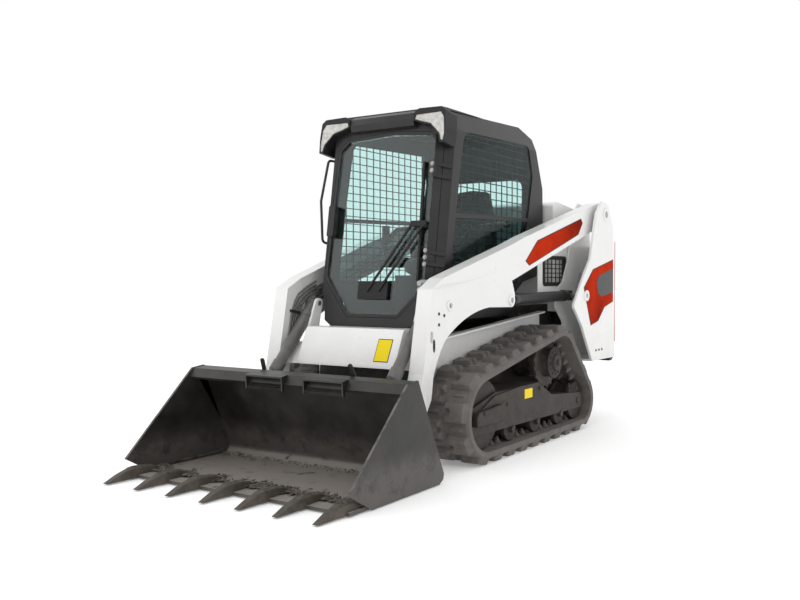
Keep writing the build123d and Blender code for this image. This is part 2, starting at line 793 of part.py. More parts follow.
# panes and wire screens in the cab's openings
with BuildPart() as cab_windows:
    with BuildSketch(Plane.YZ.offset(cab_half - 5 - glass_thick)):
        add(side_opening(fit_gap))
    extrude(amount=glass_thick)
    mirror(about=Plane.YZ)
    with BuildSketch(Plane.XZ.offset(-cab_rear_y + 6)):
        with Locations((0, 1420)):
            RectangleRounded(560 - 2 * fit_gap, 420 - 2 * fit_gap, 40)
    extrude(amount=glass_thick)
cab_windows.part.label = "cab_windows"
export_step(cab_windows.part, "parts/cab_windows.step")

screen_x = cab_half - cab_wall
screen_mid_y, screen_mid_z = 270.0, 1380.0


def wire_layer(x, pitch_y, count_y, pitch_z, count_z):
    """Parallel wires across the side opening, welded into the screen's edge strip."""
    wire_y = mesh_bar if count_y > 1 else 1100
    wire_z = mesh_bar if count_z > 1 else 1000
    with BuildPart() as layer:
        with BuildSketch(Plane.YZ.offset(x)):
            with Locations((screen_mid_y, screen_mid_z)):
                with GridLocations(pitch_y, pitch_z, count_y, count_z):
                    Rectangle(wire_y, wire_z)
        extrude(amount=mesh_bar)
        with BuildSketch(Plane.YZ.offset(x)):
            add(side_opening(8))
        extrude(amount=mesh_bar, mode=Mode.INTERSECT)
    return layer.part


with BuildPart() as side_screens:
    with BuildSketch(Plane.YZ.offset(screen_x)):
        add(side_opening(fit_gap))
        offset(amount=-14, mode=Mode.SUBTRACT)
    extrude(amount=2 * mesh_bar + fit_gap)
    add(wire_layer(screen_x, mesh_pitch_y, 15, 0, 1))
    add(wire_layer(screen_x + mesh_bar + fit_gap, 0, 1, mesh_pitch_z, 20))
    mirror(about=Plane.YZ)
side_screens.part.label = "side_screens"
export_step(side_screens.part, "parts/side_screens.step")

# head lamps in hooded housings over the bevelled corners
lamp_depth = 46.0
lens_sink = 14.0


def lamp_face(points, inset):
    """Rounded outline, given out from the middle and up from the door's top, pulled in by inset."""
    with BuildSketch() as lamp_view:
        with BuildLine():
            Polyline(*[(cab_half - across, door_top + up) for across, up in points], close=True)
        make_face()
        fillet(vertices(), 7)
        if inset:
            offset(amount=-inset, mode=Mode.REPLACE)
    return lamp_view.sketch


housing_outline = (
    (194, 40), (182, 90), (157, 102), (11, 99), (-17, 78), (-24, -12), (-20, -100), (8, -100), (22, -54),
    (78, 4), (136, 18),
)
lens_outline = (
    (182, 44), (174, 68), (13, 70), (-9, 40), (-18, -52), (-13, -90), (1, -88), (14, -48), (76, 12), (134, 28),
)
with BuildPart() as head_lamps:
    with BuildSketch(door_plane.offset(-70)):
        add(lamp_face(housing_outline, 0))
    extrude(amount=lamp_depth + 70)
    extrude(cab_plan_face(-fit_gap), amount=far, both=True, mode=Mode.SUBTRACT)
    with BuildSketch(door_plane.offset(lamp_depth - lens_sink)):
        add(lamp_face(lens_outline, 0))
    extrude(amount=lens_sink + 2, mode=Mode.SUBTRACT)
    mirror(about=Plane.YZ)
head_lamps.part.label = "head_lamps"
export_step(head_lamps.part, "parts/head_lamps.step")

with BuildPart() as lamp_lenses:
    with BuildSketch(door_plane.offset(lamp_depth - lens_sink + fit_gap)):
        add(lamp_face(lens_outline, fit_gap))
    extrude(amount=lens_sink - 4)
    mirror(about=Plane.YZ)
lamp_lenses.part.label = "lamp_lenses"
export_step(lamp_lenses.part, "parts/lamp_lenses.step")

# ---- door --------------------------------------------------------------------------------
door_hinge_x = cab_half - 49.0
door_hinge_out = 12.0   # hinge line in front of the sloping face
door_hinge_heights = (394.0, door_top - 234.0)
door_pin_r = 6.0
door_thick = 30.0
rim_width = 18.0
strip_x = cab_half - pillar_cut_x - 2  # where the solid strip on the hinge side starts


def pillar_plane(height):
    """Plane square to the hinge line: X back along the bevelled pillar, -Y out of it."""
    edge = door_plane.from_local_coords((cab_half - pillar_cut_x, height, 0))
    back = door_plane.from_local_coords((cab_half, height, -pillar_cut_y))
    return Plane(edge, x_dir=back - edge, z_dir=door_plane.y_dir)


pin_place = pillar_plane(0).to_local_coords(door_plane.from_local_coords((door_hinge_x, 0, door_hinge_out)))
knuckle_r = 10.0
with BuildPart() as door_hinges:
    for height in door_hinge_heights:
        for low in (-42, 21):
            with BuildSketch(pillar_plane(height + low)):
                with Locations((pin_place.X, pin_place.Y)):
                    Circle(knuckle_r)
                with BuildLine():
                    Polyline(
                        (pin_place.X, -8), (62, -8), (62, -fit_gap), (102, -fit_gap), (102, -14), (pin_place.X, -14),
                        close=True,
                    )
                make_face()
            extrude(amount=21)
        with BuildSketch(pillar_plane(height - 42)):
            with Locations((pin_place.X, pin_place.Y)):
                Circle(door_pin_r)
        extrude(amount=84)
door_hinges.part.label = "door_hinges"
export_step(door_hinges.part, "parts/door_hinges.step")

with BuildPart() as door_frame:
    with BuildSketch(door_plane):
        add(door_face(0))
    extrude(amount=-130)
    extrude(cab_plan_face(0), amount=far, both=True, mode=Mode.INTERSECT)
    extrude(cab_plan_face(door_thick), amount=far, both=True, mode=Mode.SUBTRACT)
    with BuildSketch(door_plane.offset(5)):
        add(door_face(rim_width))
        with Locations((strip_x, 0)):
            Rectangle(200, 3000, align=(Align.MIN, Align.CENTER), mode=Mode.SUBTRACT)
    extrude(amount=-150, mode=Mode.SUBTRACT)
    with BuildSketch(door_plane.offset(-1)):
        with Locations((105 - cab_half, 612)):
            RectangleRounded(46, 180, 10)
    extrude(amount=34)
    for height in door_hinge_heights:
        with BuildSketch(pillar_plane(height - 20)):
            with Locations((pin_place.X, pin_place.Y)):
                Circle(knuckle_r)
            with BuildLine():
                Polyline((pin_place.X - 4, -12), (pin_place.X - 4, 1), (30, 1), (30, -12), close=True)
            make_face()
            with Locations((pin_place.X, pin_place.Y)):
                Circle(door_pin_r + turn_gap, mode=Mode.SUBTRACT)
        extrude(amount=40)
door_frame.part.label = "door_frame"
export_step(door_frame.part, "parts/door_frame.step")

with BuildPart() as door_glass:
    with BuildSketch(door_plane.offset(-16)):
        add(door_face(rim_width + fit_gap))
        with Locations((strip_x - fit_gap, 0)):
            Rectangle(200, 3000, align=(Align.MIN, Align.CENTER), mode=Mode.SUBTRACT)
    extrude(amount=glass_thick)
door_glass.part.label = "door_glass"
export_step(door_glass.part, "parts/door_glass.step")

glass_face = -16 + glass_thick + fit_gap
blade_low, blade_high = 268.0, door_top - 185.0
with BuildPart() as wiper:
    with BuildSketch(door_plane.offset(glass_face)):
        with Locations((14, 217)):
            RectangleRounded(204, 100, 10)
    extrude(amount=18)
    for start_x in (-22, 56):
        with BuildSketch(door_plane.offset(glass_face + 18)):
            with BuildLine():
                Polyline(
                    (start_x - 6, 214), (start_x + 6, 208), (start_x + 278, 578), (start_x + 266, 584),
                    close=True,
                )
            make_face()
        extrude(amount=8)
    with BuildSketch(door_plane.offset(glass_face + 2)):
        with Locations(Location((300, (blade_low + blade_high) / 2, 0), (0, 0, 1.5))):
            Rectangle(13, blade_high - blade_low)
    extrude(amount=16)
    with BuildSketch(door_plane.offset(glass_face + 10)):
        with Locations((293, 582)):
            Rectangle(96, 30)
    extrude(amount=16)
wiper.part.label = "wiper"
export_step(wiper.part, "parts/wiper.step")

handle_top_z, handle_low_z = roof_top_z - 304.0, 1186.0
with BuildPart() as grab_handle:
    with BuildLine(Plane.YZ.offset(15 - cab_half)) as rod_path:
        FilletPolyline(
            (-180, handle_top_z), (-264, handle_top_z), (-332, (handle_top_z + handle_low_z) / 2),
            (-322, handle_low_z + 8), (-245, handle_low_z - 8), radius=26,
        )
    with BuildSketch(Plane(origin=rod_path.line @ 0, z_dir=rod_path.line % 0)):
        RegularPolygon(8, 8)
    sweep()
    extrude(cab_plan_face(-fit_gap), amount=far, both=True, mode=Mode.SUBTRACT)
grab_handle.part.label = "grab_handle"
export_step(grab_handle.part, "parts/grab_handle.step")

# ---- inside the cab ----------------------------------------------------------------------
seat_box_top = 1000.0
with BuildPart() as seat_base:
    with BuildSketch(Plane.YZ):
        with BuildLine():
            Polyline(
                (180, cab_bottom_z(180) + cab_wall + fit_gap), (570, cab_bottom_z(570) + cab_wall + fit_gap),
                (578, seat_box_top), (190, seat_box_top), close=True,
            )
        make_face()
    extrude(amount=260, both=True)
seat_base.part.label = "seat_base"
export_step(seat_base.part, "parts/seat_base.step")

cushion_depth, cushion_rear_y = 410.0, 580.0
with BuildPart() as seat_cushion:
    with BuildSketch(Plane.XY.offset(seat_box_top + fit_gap)):
        with Locations((0, cushion_rear_y - cushion_depth / 2)):
            RectangleRounded(470, cushion_depth, 60)
    extrude(amount=110)
seat_cushion.part.label = "seat_cushion"
export_step(seat_cushion.part, "parts/seat_cushion.step")


def cab_shelf_z(y):
    """Height of the cab's inner shelf behind the seat."""
    return shelf_z + (y - shelf_y) * shelf_slope + cab_wall * math.hypot(1, shelf_slope)


back_front_y = cushion_rear_y + fit_gap
with BuildPart() as seat_back:
    with BuildSketch(Plane.YZ):
        with BuildLine():
            Polyline(
                (back_front_y, cab_shelf_z(back_front_y) + fit_gap), (680, cab_shelf_z(680) + fit_gap),
                (745, 1560), (660, 1575), (back_front_y, 1130), close=True,
            )
        make_face()
        fillet(vertices().sort_by(Axis.Y)[-2:], 30)
    extrude(amount=225, both=True)
seat_back.part.label = "seat_back"
export_step(seat_back.part, "parts/seat_back.step")

with BuildPart() as control_levers:
    for sign in (1, -1):
        with BuildSketch(Plane.YZ.offset(sign * 330 - 35)):
            with BuildLine():
                Polyline((150, 1050), (600, 1050), (600, 1110), (230, 1120), (150, 1100), close=True)
            make_face()
        extrude(amount=70)
        with BuildSketch(Plane.XY.offset(900)):
            with Locations((sign * (280 + fit_gap), 480)):
                Rectangle(40, 150)
        extrude(amount=160)
        with BuildSketch(Plane.XY.offset(1090)):
            with Locations((sign * 330, 190)):
                Circle(11)
        extrude(amount=110)
        with BuildSketch(Plane.XY.offset(1200)):
            with Locations((sign * 330, 190)):
                Circle(24)
        extrude(amount=110)
control_levers.part.label = "control_levers"
export_step(control_levers.part, "parts/control_levers.step")

bar_pivot_y, bar_pivot_z = 640.0, 1330.0
bar_pin_r = 10.0
with BuildPart() as seat_bar:
    with BuildLine() as bar_path:
        FilletPolyline(
            (285, bar_pivot_y, bar_pivot_z), (285, 250, 1290), (285, 60, 1170), (-285, 60, 1170),
            (-285, 250, 1290), (-285, bar_pivot_y, bar_pivot_z), radius=45,
        )
    with BuildSketch(Plane(origin=bar_path.line @ 0, z_dir=bar_path.line % 0)):
        RegularPolygon(14, 8)
    sweep()
    for sign in (1, -1):
        with BuildSketch(Plane.YZ.offset(sign * 285 - 15)):
            with Locations((bar_pivot_y, bar_pivot_z)):
                Circle(24)
        extrude(amount=30)
        with BuildSketch(Plane.YZ.offset(sign * 285 - 16)):
            with Locations((bar_pivot_y, bar_pivot_z)):
                Circle(bar_pin_r + turn_gap)
        extrude(amount=32, mode=Mode.SUBTRACT)
seat_bar.part.label = "seat_bar"
export_step(seat_bar.part, "parts/seat_bar.step")

with BuildPart() as seat_pivots:
    with BuildSketch(Plane.YZ.offset(225 + fit_gap)):
        with Locations((bar_pivot_y, bar_pivot_z)):
            Circle(30)
    extrude(amount=20)
    with BuildSketch(Plane.YZ.offset(225 + fit_gap)):
        with Locations((bar_pivot_y, bar_pivot_z)):
            Circle(bar_pin_r)
    extrude(amount=80)
    mirror(about=Plane.YZ)
seat_pivots.part.label = "seat_pivots"
export_step(seat_pivots.part, "parts/seat_pivots.step")

# ---- lift arm ----------------------------------------------------------------------------


def arm_inner_x(y):
    """X of the arm's inner face at a given Y behind the knee."""
    if y < arm_mid_y:
        share = (y - knee_y) / (arm_mid_y - knee_y)
        return arm_front_x + share * (arm_mid_x - arm_front_x) - arm_width
    share = (y - arm_mid_y) / (arm_rear_y - arm_mid_y)
    return arm_mid_x + share * (arm_rear_x - arm_mid_x) - arm_width


eye_pocket = eye_width + 12
for side, sign in side_signs:
    with BuildPart() as arm:
        with BuildSketch(Plane.YZ.offset(400)):
            with BuildLine():
                top = Polyline((-560, 925), (knee_y - 5, 982), (308, 1227), (pivot_y - 22, pivot_z + 78))
                back = ThreePointArc(top @ 1, (pivot_y + 80, pivot_z + 5), (pivot_y + 22, pivot_z - 77))
                Polyline(back @ 1, (142, 968), (lift_rod_y + 42, 890), (lift_rod_y + 42, 857))
                ThreePointArc((lift_rod_y + 42, 857), (lift_rod_y + 28, 826), (lift_rod_y - 4, 818))
                Line((lift_rod_y - 4, 818), (-70, 822))
                ThreePointArc((-70, 822), (-270, 770), (-430, 672))
                ThreePointArc((-430, 672), (-505, 575), (-550, 480))
                Polyline(
                    (-550, 480), (-568, 370), (-640, 262), (hinge_y + 20, hinge_z - 27),
                    (hinge_y - 27, hinge_z - 20), (hinge_y - 32, hinge_z + 11), (-668, 420), (-640, 500),
                    (-560, 925),
                )
            make_face()
            with Locations((hinge_y, hinge_z)):
                Circle(hinge_boss_r)
        extrude(amount=300)
        with BuildSketch():
            with BuildLine():
                Polyline(
                    (arm_front_x, -1000), (arm_front_x, knee_y), (arm_mid_x, arm_mid_y), (arm_rear_x, arm_rear_y),
                    (arm_rear_x - arm_width, arm_rear_y), (arm_mid_x - arm_width, arm_mid_y),
                    (arm_front_x - arm_width, knee_y), (arm_front_x - arm_width, -1000), close=True,
                )
            make_face()
        extrude(amount=1700, mode=Mode.INTERSECT)
        with BuildSketch(Plane.YZ.offset(arm_front_x - 1)):
            with Locations((tilt_base_y, tilt_base_z)):
                Circle(tilt_pin_r + 14)
        extrude(amount=boss_high + 5)
        with BuildSketch(Plane.YZ.offset(arm_mid_x - 10)):
            with Locations((lift_rod_y, lift_rod_z)):
                Circle(lift_pin_r + 14)
        extrude(amount=boss_high + 10)
        with BuildSketch(Plane.YZ.offset(arm_front_x - 24)):
            with Locations((-563, 684)):
                SlotOverall(60, 24, rotation=90)
        extrude(amount=30, mode=Mode.SUBTRACT)
        with BuildSketch(Plane.YZ.offset(lift_x - eye_pocket / 2)):
            with Locations((lift_rod_y + 85, lift_rod_z - 30)):
                Rectangle(260, 150)
        extrude(amount=eye_pocket, mode=Mode.SUBTRACT)
        for y, z, radius in (
            (pivot_y, pivot_z, pivot_pin_r + turn_gap),
            (hinge_y, hinge_z, hinge_pin_r + turn_gap),
        ):
            with BuildSketch(Plane.YZ.offset(400)):
                with Locations((y, z)):
                    Circle(radius)
            extrude(amount=300, mode=Mode.SUBTRACT)
        with BuildSketch(Plane.YZ.offset(400)):
            with Locations((tilt_base_y, tilt_base_z)):
                Circle(tilt_pin_r)
        extrude(amount=300, mode=Mode.SUBTRACT)
        with BuildSketch(Plane.YZ.offset(400)):
            with Locations((lift_rod_y, lift_rod_z)):
                Circle(lift_pin_r)
        extrude(amount=300, mode=Mode.SUBTRACT)
        if sign < 0:
            mirror(about=Plane.YZ, mode=Mode.REPLACE)
    arm.part.label = f"arm_{side}"
    export_step(arm.part, f"parts/arm_{side}.step")

gusset_x, gusset_plate = tilt_x - 48.0, 16.0
with BuildPart() as cross_member:
    with BuildSketch(Plane.YZ):
        with BuildLine():
            Polyline((-520, 530), (-490, 515), (-424, 515), (-424, 715), (-500, 715), (-527, 690), close=True)
        make_face()
        fillet(vertices().sort_by(Axis.X)[:1], 14)
    extrude(amount=gusset_x - 17, both=True)
    with BuildSketch(Plane.YZ):
        with BuildLine():
            Polyline((-612, 516), (-524, 625), (-424, 625), (-424, 516), close=True)
        make_face()
    extrude(amount=arm_front_x - arm_width, both=True)
    for sign in (1, -1):
        with BuildSketch(Plane.YZ.offset(sign * gusset_x)):
            with BuildLine():
                Polyline(
                    (-522, 620), (-428, 620), (tilt_base_y + 27, 836), (tilt_base_y - 27, 850), close=True,
                )
            make_face()
            with Locations((tilt_base_y, tilt_base_z)):
                Circle(28)
                Circle(tilt_pin_r, mode=Mode.SUBTRACT)
        extrude(amount=sign * gusset_plate)
cross_member.part.label = "cross_member"
export_step(cross_member.part, "parts/cross_member.step")

with BuildPart() as arm_pins:
    with BuildSketch(Plane.YZ.offset(gusset_x - 4)):
        with Locations((tilt_base_y, tilt_base_z)):
            Circle(tilt_pin_r)
    extrude(amount=arm_front_x + boss_high - 2 - gusset_x)
    for cheek_from, cheek_to in (
        (lift_x - 52, lift_x - eye_pocket / 2),
        (lift_x + eye_pocket / 2, arm_mid_x + boss_high - 6),
    ):
        with BuildSketch(Plane.YZ.offset(cheek_from)):
            with Locations((lift_rod_y, lift_rod_z)):
                Circle(lift_pin_r)
        extrude(amount=cheek_to - cheek_from)
    mirror(about=Plane.YZ)
arm_pins.part.label = "arm_pins"
export_step(arm_pins.part, "parts/arm_pins.step")

# quick couplers on the inside of the left knee
with BuildPart() as couplers:
    with BuildSketch(Plane.XZ.offset(430)):
        with Locations((arm_front_x - arm_width - 22.5, 922)):
            Rectangle(44, 104)
    extrude(amount=45)
    with BuildSketch(Plane.XZ.offset(475)):
        with Locations(*[(arm_front_x - arm_width - 23, level) for level in (888, 922, 956)]):
            Circle(14)
    extrude(amount=40)
couplers.part.label = "couplers"
export_step(couplers.part, "parts/couplers.step")

# steel pipes along the inside of the right arm
pipe_r = 7.0
pipe_pitch = 26.0
pipe_stand = 10.0       # centre line of the pipes from the arm's face
pipe_bends = ((-330.0, 850.0), (arm_mid_y, 1010.0), (1040.0, 1290.0))
clamp_places = ((-150.0, 930.0, 6.7), (480.0, 1103.0, 1.8), (900.0, 1238.0, 1.8))
with BuildPart() as arm_pipes:
    for level in range(4):
        bends = [Vector(pipe_stand - arm_inner_x(y), y, z + pipe_pitch * level) for y, z in pipe_bends]
        for start, end in zip(bends, bends[1:]):
            with BuildSketch(Plane(origin=start, z_dir=end - start)):
                RegularPolygon(pipe_r, 8)
            extrude(amount=(end - start).length)
        with Locations(bends[1]):
            Sphere(pipe_r - 1)
    for y, z, turn in clamp_places:
        lean = math.radians(turn)
        face = Vector(-arm_inner_x(y), y, z + 1.5 * pipe_pitch)
        out = Vector(math.cos(lean), math.sin(lean), 0)
        with Locations(Location(face + out * (fit_gap + 9), (0, 0, turn))):
            Box(18, 30, 4 * pipe_pitch)
arm_pipes.part.label = "arm_pipes"
export_step(arm_pipes.part, "parts/arm_pipes.step")

# ---- cylinders ---------------------------------------------------------------------------


def eye_solid(x, place, radius):
    """Round eye across the machine."""
    with BuildPart() as eye:
        with BuildSketch(Plane.YZ.offset(x - eye_width / 2)):
            with Locations(place):
                Circle(radius)
        extrude(amount=eye_width)
    return eye.part


def barrel_solid(x, base, rod, length, barrel_r, rod_r, eye_r, pin_r, bore_start):
    """Cylinder barrel from its base eye to the gland, bored for the rod."""
    line = axis_plane(x, base, rod)
    with BuildPart() as barrel:
        add(eye_solid(x, base, eye_r))
        with BuildSketch(line.offset(eye_r * 0.7)):
            Circle(barrel_r)
        extrude(amount=length - eye_r * 0.7)
        with BuildSketch(line.offset(length - 60)):
            Circle(barrel_r + 5)
        extrude(amount=60)
        with BuildSketch(line.offset(bore_start)):
            Circle(rod_r + turn_gap)
        extrude(amount=length, mode=Mode.SUBTRACT)
        with BuildSketch(Plane.YZ.offset(x - eye_width)):
            with Locations(base):
                Circle(pin_r + turn_gap)
        extrude(amount=2 * eye_width, mode=Mode.SUBTRACT)
    return barrel.part


def rod_solid(x, base, rod, length, rod_r, eye_r, pin_r):
    """Piston rod from its eye back into the barrel."""
    line = axis_plane(x, rod, base)
    with BuildPart() as piston_rod:
        with BuildSketch(line):
            Circle(rod_r)
        extrude(amount=length)
        add(eye_solid(x, rod, eye_r))
        with BuildSketch(Plane.YZ.offset(x - eye_width)):
            with Locations(rod):
                Circle(pin_r + turn_gap)
        extrude(amount=2 * eye_width, mode=Mode.SUBTRACT)
    return piston_rod.part


lift_base, lift_rod = (lift_base_y, lift_base_z), (lift_rod_y, lift_rod_z)
tilt_base, tilt_rod = (tilt_base_y, tilt_base_z), (tilt_rod_y, tilt_rod_z)
for side, sign in side_signs:
    barrel = barrel_solid(
        sign * lift_x, lift_base, lift_rod, lift_barrel_length, lift_barrel_r, lift_rod_r, 34, lift_pin_r, 38,
    )
    barrel.label = f"lift_barrel_{side}"
    export_step(barrel, f"parts/lift_barrel_{side}.step")
    piston = rod_solid(sign * lift_x, lift_base, lift_rod, lift_rod_length, lift_rod_r, 28, lift_pin_r)
    piston.label = f"lift_rod_{side}"
    export_step(piston, f"parts/lift_rod_{side}.step")
    barrel = barrel_solid(
        sign * tilt_x, tilt_base, tilt_rod, tilt_barrel_length, tilt_barrel_r, tilt_rod_r, 27, tilt_pin_r, 29,
    )
    barrel.label = f"tilt_barrel_{side}"
    export_step(barrel, f"parts/tilt_barrel_{side}.step")
    piston = rod_solid(sign * tilt_x, tilt_base, tilt_rod, tilt_rod_length, tilt_rod_r, 25, tilt_pin_r)
    piston.label = f"tilt_rod_{side}"
    export_step(piston, f"parts/tilt_rod_{side}.step")

# ---- quick attach ------------------------------------------------------------------------
back_lean = 22.0        # degrees that the bucket's back leans forward
back_foot = (-730.0, 12.0)
lean_cos, lean_sin = math.cos(math.radians(back_lean)), math.sin(math.radians(back_lean))
attach_plane = Plane(origin=(0, *back_foot), x_dir=(-1, 0, 0), z_dir=(0, lean_cos, lean_sin))


def behind_back(height, distance):
    """Side-view point at a height along the bucket's back and a distance behind it."""
    return (
        back_foot[0] - height * lean_sin + distance * lean_cos,
        back_foot[1] + height * lean_cos + distance * lean_sin,
    )


attach_plate = 14.0
attach_half = arm_front_x + 41.0
ear_plate = 14.0
ear_places = (          # inner face of each ear, whether it carries the hinge, whether the rod pin
    (tilt_x - eye_width / 2 - 4 - ear_plate, False, True),
    (tilt_x + eye_width / 2 + 4, True, True),
    (arm_front_x + 6, True, False),
)
with BuildPart() as quick_attach:
    with BuildSketch(attach_plane.offset(fit_gap)):
        with Locations((0, 290)):
            Rectangle(2 * attach_half, 440)
    extrude(amount=attach_plate)
    for ear_x, has_hinge, has_rod in ear_places:
        low = behind_back(90, 8) if has_hinge else behind_back(330, 8)
        with BuildSketch(Plane.YZ.offset(ear_x)):
            with BuildLine():
                if has_hinge and has_rod:
                    Polyline(
                        low, (hinge_y + 4, hinge_z - 33), (hinge_y + 33, hinge_z + 4),
                        (tilt_rod_y + 27, tilt_rod_z + 6), (tilt_rod_y + 2, tilt_rod_z + 28),
                        behind_back(490, 8), close=True,
                    )
                elif has_hinge:
                    Polyline(
                        low, (hinge_y + 4, hinge_z - 33), (hinge_y + 33, hinge_z + 4),
                        behind_back(400, 8), close=True,
                    )
                else:
                    Polyline(
                        low, (tilt_rod_y + 12, tilt_rod_z - 25), (tilt_rod_y + 27, tilt_rod_z + 6),
                        (tilt_rod_y + 2, tilt_rod_z + 28), behind_back(490, 8), close=True,
                    )
            make_face()
            if has_hinge:
                with Locations((hinge_y, hinge_z)):
                    Circle(hinge_boss_r)
            if has_rod:
                with Locations((tilt_rod_y, tilt_rod_z)):
                    Circle(28)
        extrude(amount=ear_plate)
    with BuildSketch(Plane.YZ.offset(ear_places[1][0])):
        with Locations((hinge_y, hinge_z)):
            Circle(hinge_pin_r)
    extrude(amount=ear_places[2][0] + ear_plate + 6 - ear_places[1][0])
    with BuildSketch(Plane.YZ.offset(ear_places[0][0] - 6)):
        with Locations((tilt_rod_y, tilt_rod_z)):
            Circle(tilt_pin_r)
    extrude(amount=ear_plate)
    mirror(about=Plane.YZ)
quick_attach.part.label = "quick_attach"
export_step(quick_attach.part, "parts/quick_attach.step")

with BuildPart() as attach_levers:
    for sign in (1, -1):
        with BuildSketch(attach_plane.offset(fit_gap + attach_plate)):
            with Locations((sign * 315, 395)):
                RectangleRounded(60, 110, 20)
        extrude(amount=22)
        with BuildSketch(attach_plane.offset(fit_gap + attach_plate + 22)):
            with Locations(Location((sign * 305, 480, 0), (0, 0, sign * 8))):
                RectangleRounded(24, 210, 11)
        extrude(amount=10)
attach_levers.part.label = "attach_levers"
export_step(attach_levers.part, "parts/attach_levers.step")

# ---- bucket ------------------------------------------------------------------------------
bucket_half = bucket_width / 2
edge_thick = 16.0
edge_y = -1400.0
floor_z = 6.0
with BuildPart() as bucket:
    with BuildSketch(Plane.YZ):
        with BuildLine():
            FilletPolyline(behind_back(520, 0), behind_back(35, 0), (-790, floor_z), (edge_y, floor_z), radius=40)
            offset(amount=bucket_plate, side=Side.RIGHT)
        make_face()
        with BuildLine():
            Polyline((-930, 514), (-1004, 506), (-1026, 462), (-1012, 449), (-938, 457), close=True)
        make_face()
        with BuildLine():
            Polyline(
                (edge_y, floor_z), (edge_y, floor_z + edge_thick), (edge_y + 170, floor_z + edge_thick),
                (edge_y + 170, floor_z), close=True,
            )
        make_face()
    extrude(amount=bucket_half - side_plate, both=True)
    for sign in (1, -1):
        with BuildSketch(Plane.YZ.offset(sign * bucket_half)):
            with BuildLine():
                Polyline(
                    (-931, 517), (-1006, 508), (-1417, 94), (-1268, 5), (-760, 5), (-728, 24), (-722, 50),
                    close=True,
                )
            make_face()
        extrude(amount=-sign * side_plate)
bucket.part.label = "bucket"
export_step(bucket.part, "parts/bucket.step")

# two steps on the lip, to climb into the cab
step_width, step_plate = 250.0, 8.0
with BuildPart() as bucket_steps:
    for step_x in (-147.0, 237.0):
        with BuildSketch(Plane.YZ.offset(step_x - step_width / 2)):
            with BuildLine():
                Polyline((-1004 - fit_gap, 508), (-1046, 500), (-1046, 492), (-1011 - fit_gap, 492), close=True)
            make_face()
            with Locations(Location((-1035, 438, 0), (0, 0, 25))):
                Rectangle(8, 16)
        extrude(amount=step_width)
        for leg_x in (step_x - step_width / 2, step_x + step_width / 2 - step_plate):
            with BuildSketch(Plane.YZ.offset(leg_x)):
                with BuildLine():
                    Polyline(
                        (-1004 - fit_gap, 508), (-1046, 500), (-1041, 430), (-1028, 430), (-1026 - fit_gap, 462),
                        close=True,
                    )
                make_face()
            extrude(amount=step_plate)
bucket_steps.part.label = "bucket_steps"
export_step(bucket_steps.part, "parts/bucket_steps.step")

with BuildPart() as teeth:
    for index in range(tooth_count):
        tooth_x = (index - (tooth_count - 1) / 2) * tooth_pitch
        with BuildSketch(Plane.YZ.offset(tooth_x)):
            with BuildLine():
                Polyline(
                    (-1330, floor_z + edge_thick + fit_gap), (-1330, 44), (-1405, 60), (-1470, 50), (tip_y, 16),
                    (tip_y, 8), (-1470, 4), (edge_y - fit_gap, 4),
                    (edge_y - fit_gap, floor_z + edge_thick + fit_gap), close=True,
                )
            make_face()
        extrude(amount=tooth_width / 2, both=True)
teeth.part.label = "teeth"
export_step(teeth.part, "parts/teeth.step")
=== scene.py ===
import json
import math

import bmesh
import bpy
import numpy as np
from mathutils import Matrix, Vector


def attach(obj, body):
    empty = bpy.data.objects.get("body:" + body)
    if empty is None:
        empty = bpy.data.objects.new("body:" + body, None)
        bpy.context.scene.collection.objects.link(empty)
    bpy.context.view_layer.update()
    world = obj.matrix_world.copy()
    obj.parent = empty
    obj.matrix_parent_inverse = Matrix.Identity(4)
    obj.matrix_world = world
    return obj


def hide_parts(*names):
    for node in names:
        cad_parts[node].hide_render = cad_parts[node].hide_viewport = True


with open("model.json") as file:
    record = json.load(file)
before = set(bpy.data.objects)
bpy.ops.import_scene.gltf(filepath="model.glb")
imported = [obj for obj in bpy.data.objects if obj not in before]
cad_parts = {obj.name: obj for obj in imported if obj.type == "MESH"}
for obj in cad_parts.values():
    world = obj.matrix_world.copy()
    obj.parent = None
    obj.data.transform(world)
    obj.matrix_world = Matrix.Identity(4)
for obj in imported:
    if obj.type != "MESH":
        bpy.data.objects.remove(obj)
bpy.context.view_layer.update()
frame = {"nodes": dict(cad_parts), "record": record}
nodes = frame["nodes"]
scene = bpy.context.scene
print("frame loaded:", len(nodes), "nodes")


def wire(tree, pairs):
    for source, target in pairs:
        tree.links.new(source, target)


def addNode(tree, kind, **values):
    node = tree.nodes.new(kind)
    for socket, value in values.items():
        node.inputs[socket.replace("_", " ")].default_value = value
    return node


def blendColor(tree, factor, below, color):
    # one colour laid over another by a factor: result = below x (1 - factor) + color x factor
    mix = tree.nodes.new("ShaderNodeMix")
    mix.data_type = "RGBA"
    mix.inputs[7].default_value = (*color, 1.0)
    wire(tree, [(factor, mix.inputs[0]), (below, mix.inputs[6])])
    return mix.outputs[2]


def spread(tree, source, low, high, outLow=0.0, outHigh=1.0):
    # rescales a value so that low..high becomes outLow..outHigh, clipped at both ends
    node = addNode(tree, "ShaderNodeMapRange", From_Min=low, From_Max=high, To_Min=outLow, To_Max=outHigh)
    tree.links.new(source, node.inputs["Value"])
    return node.outputs["Result"]


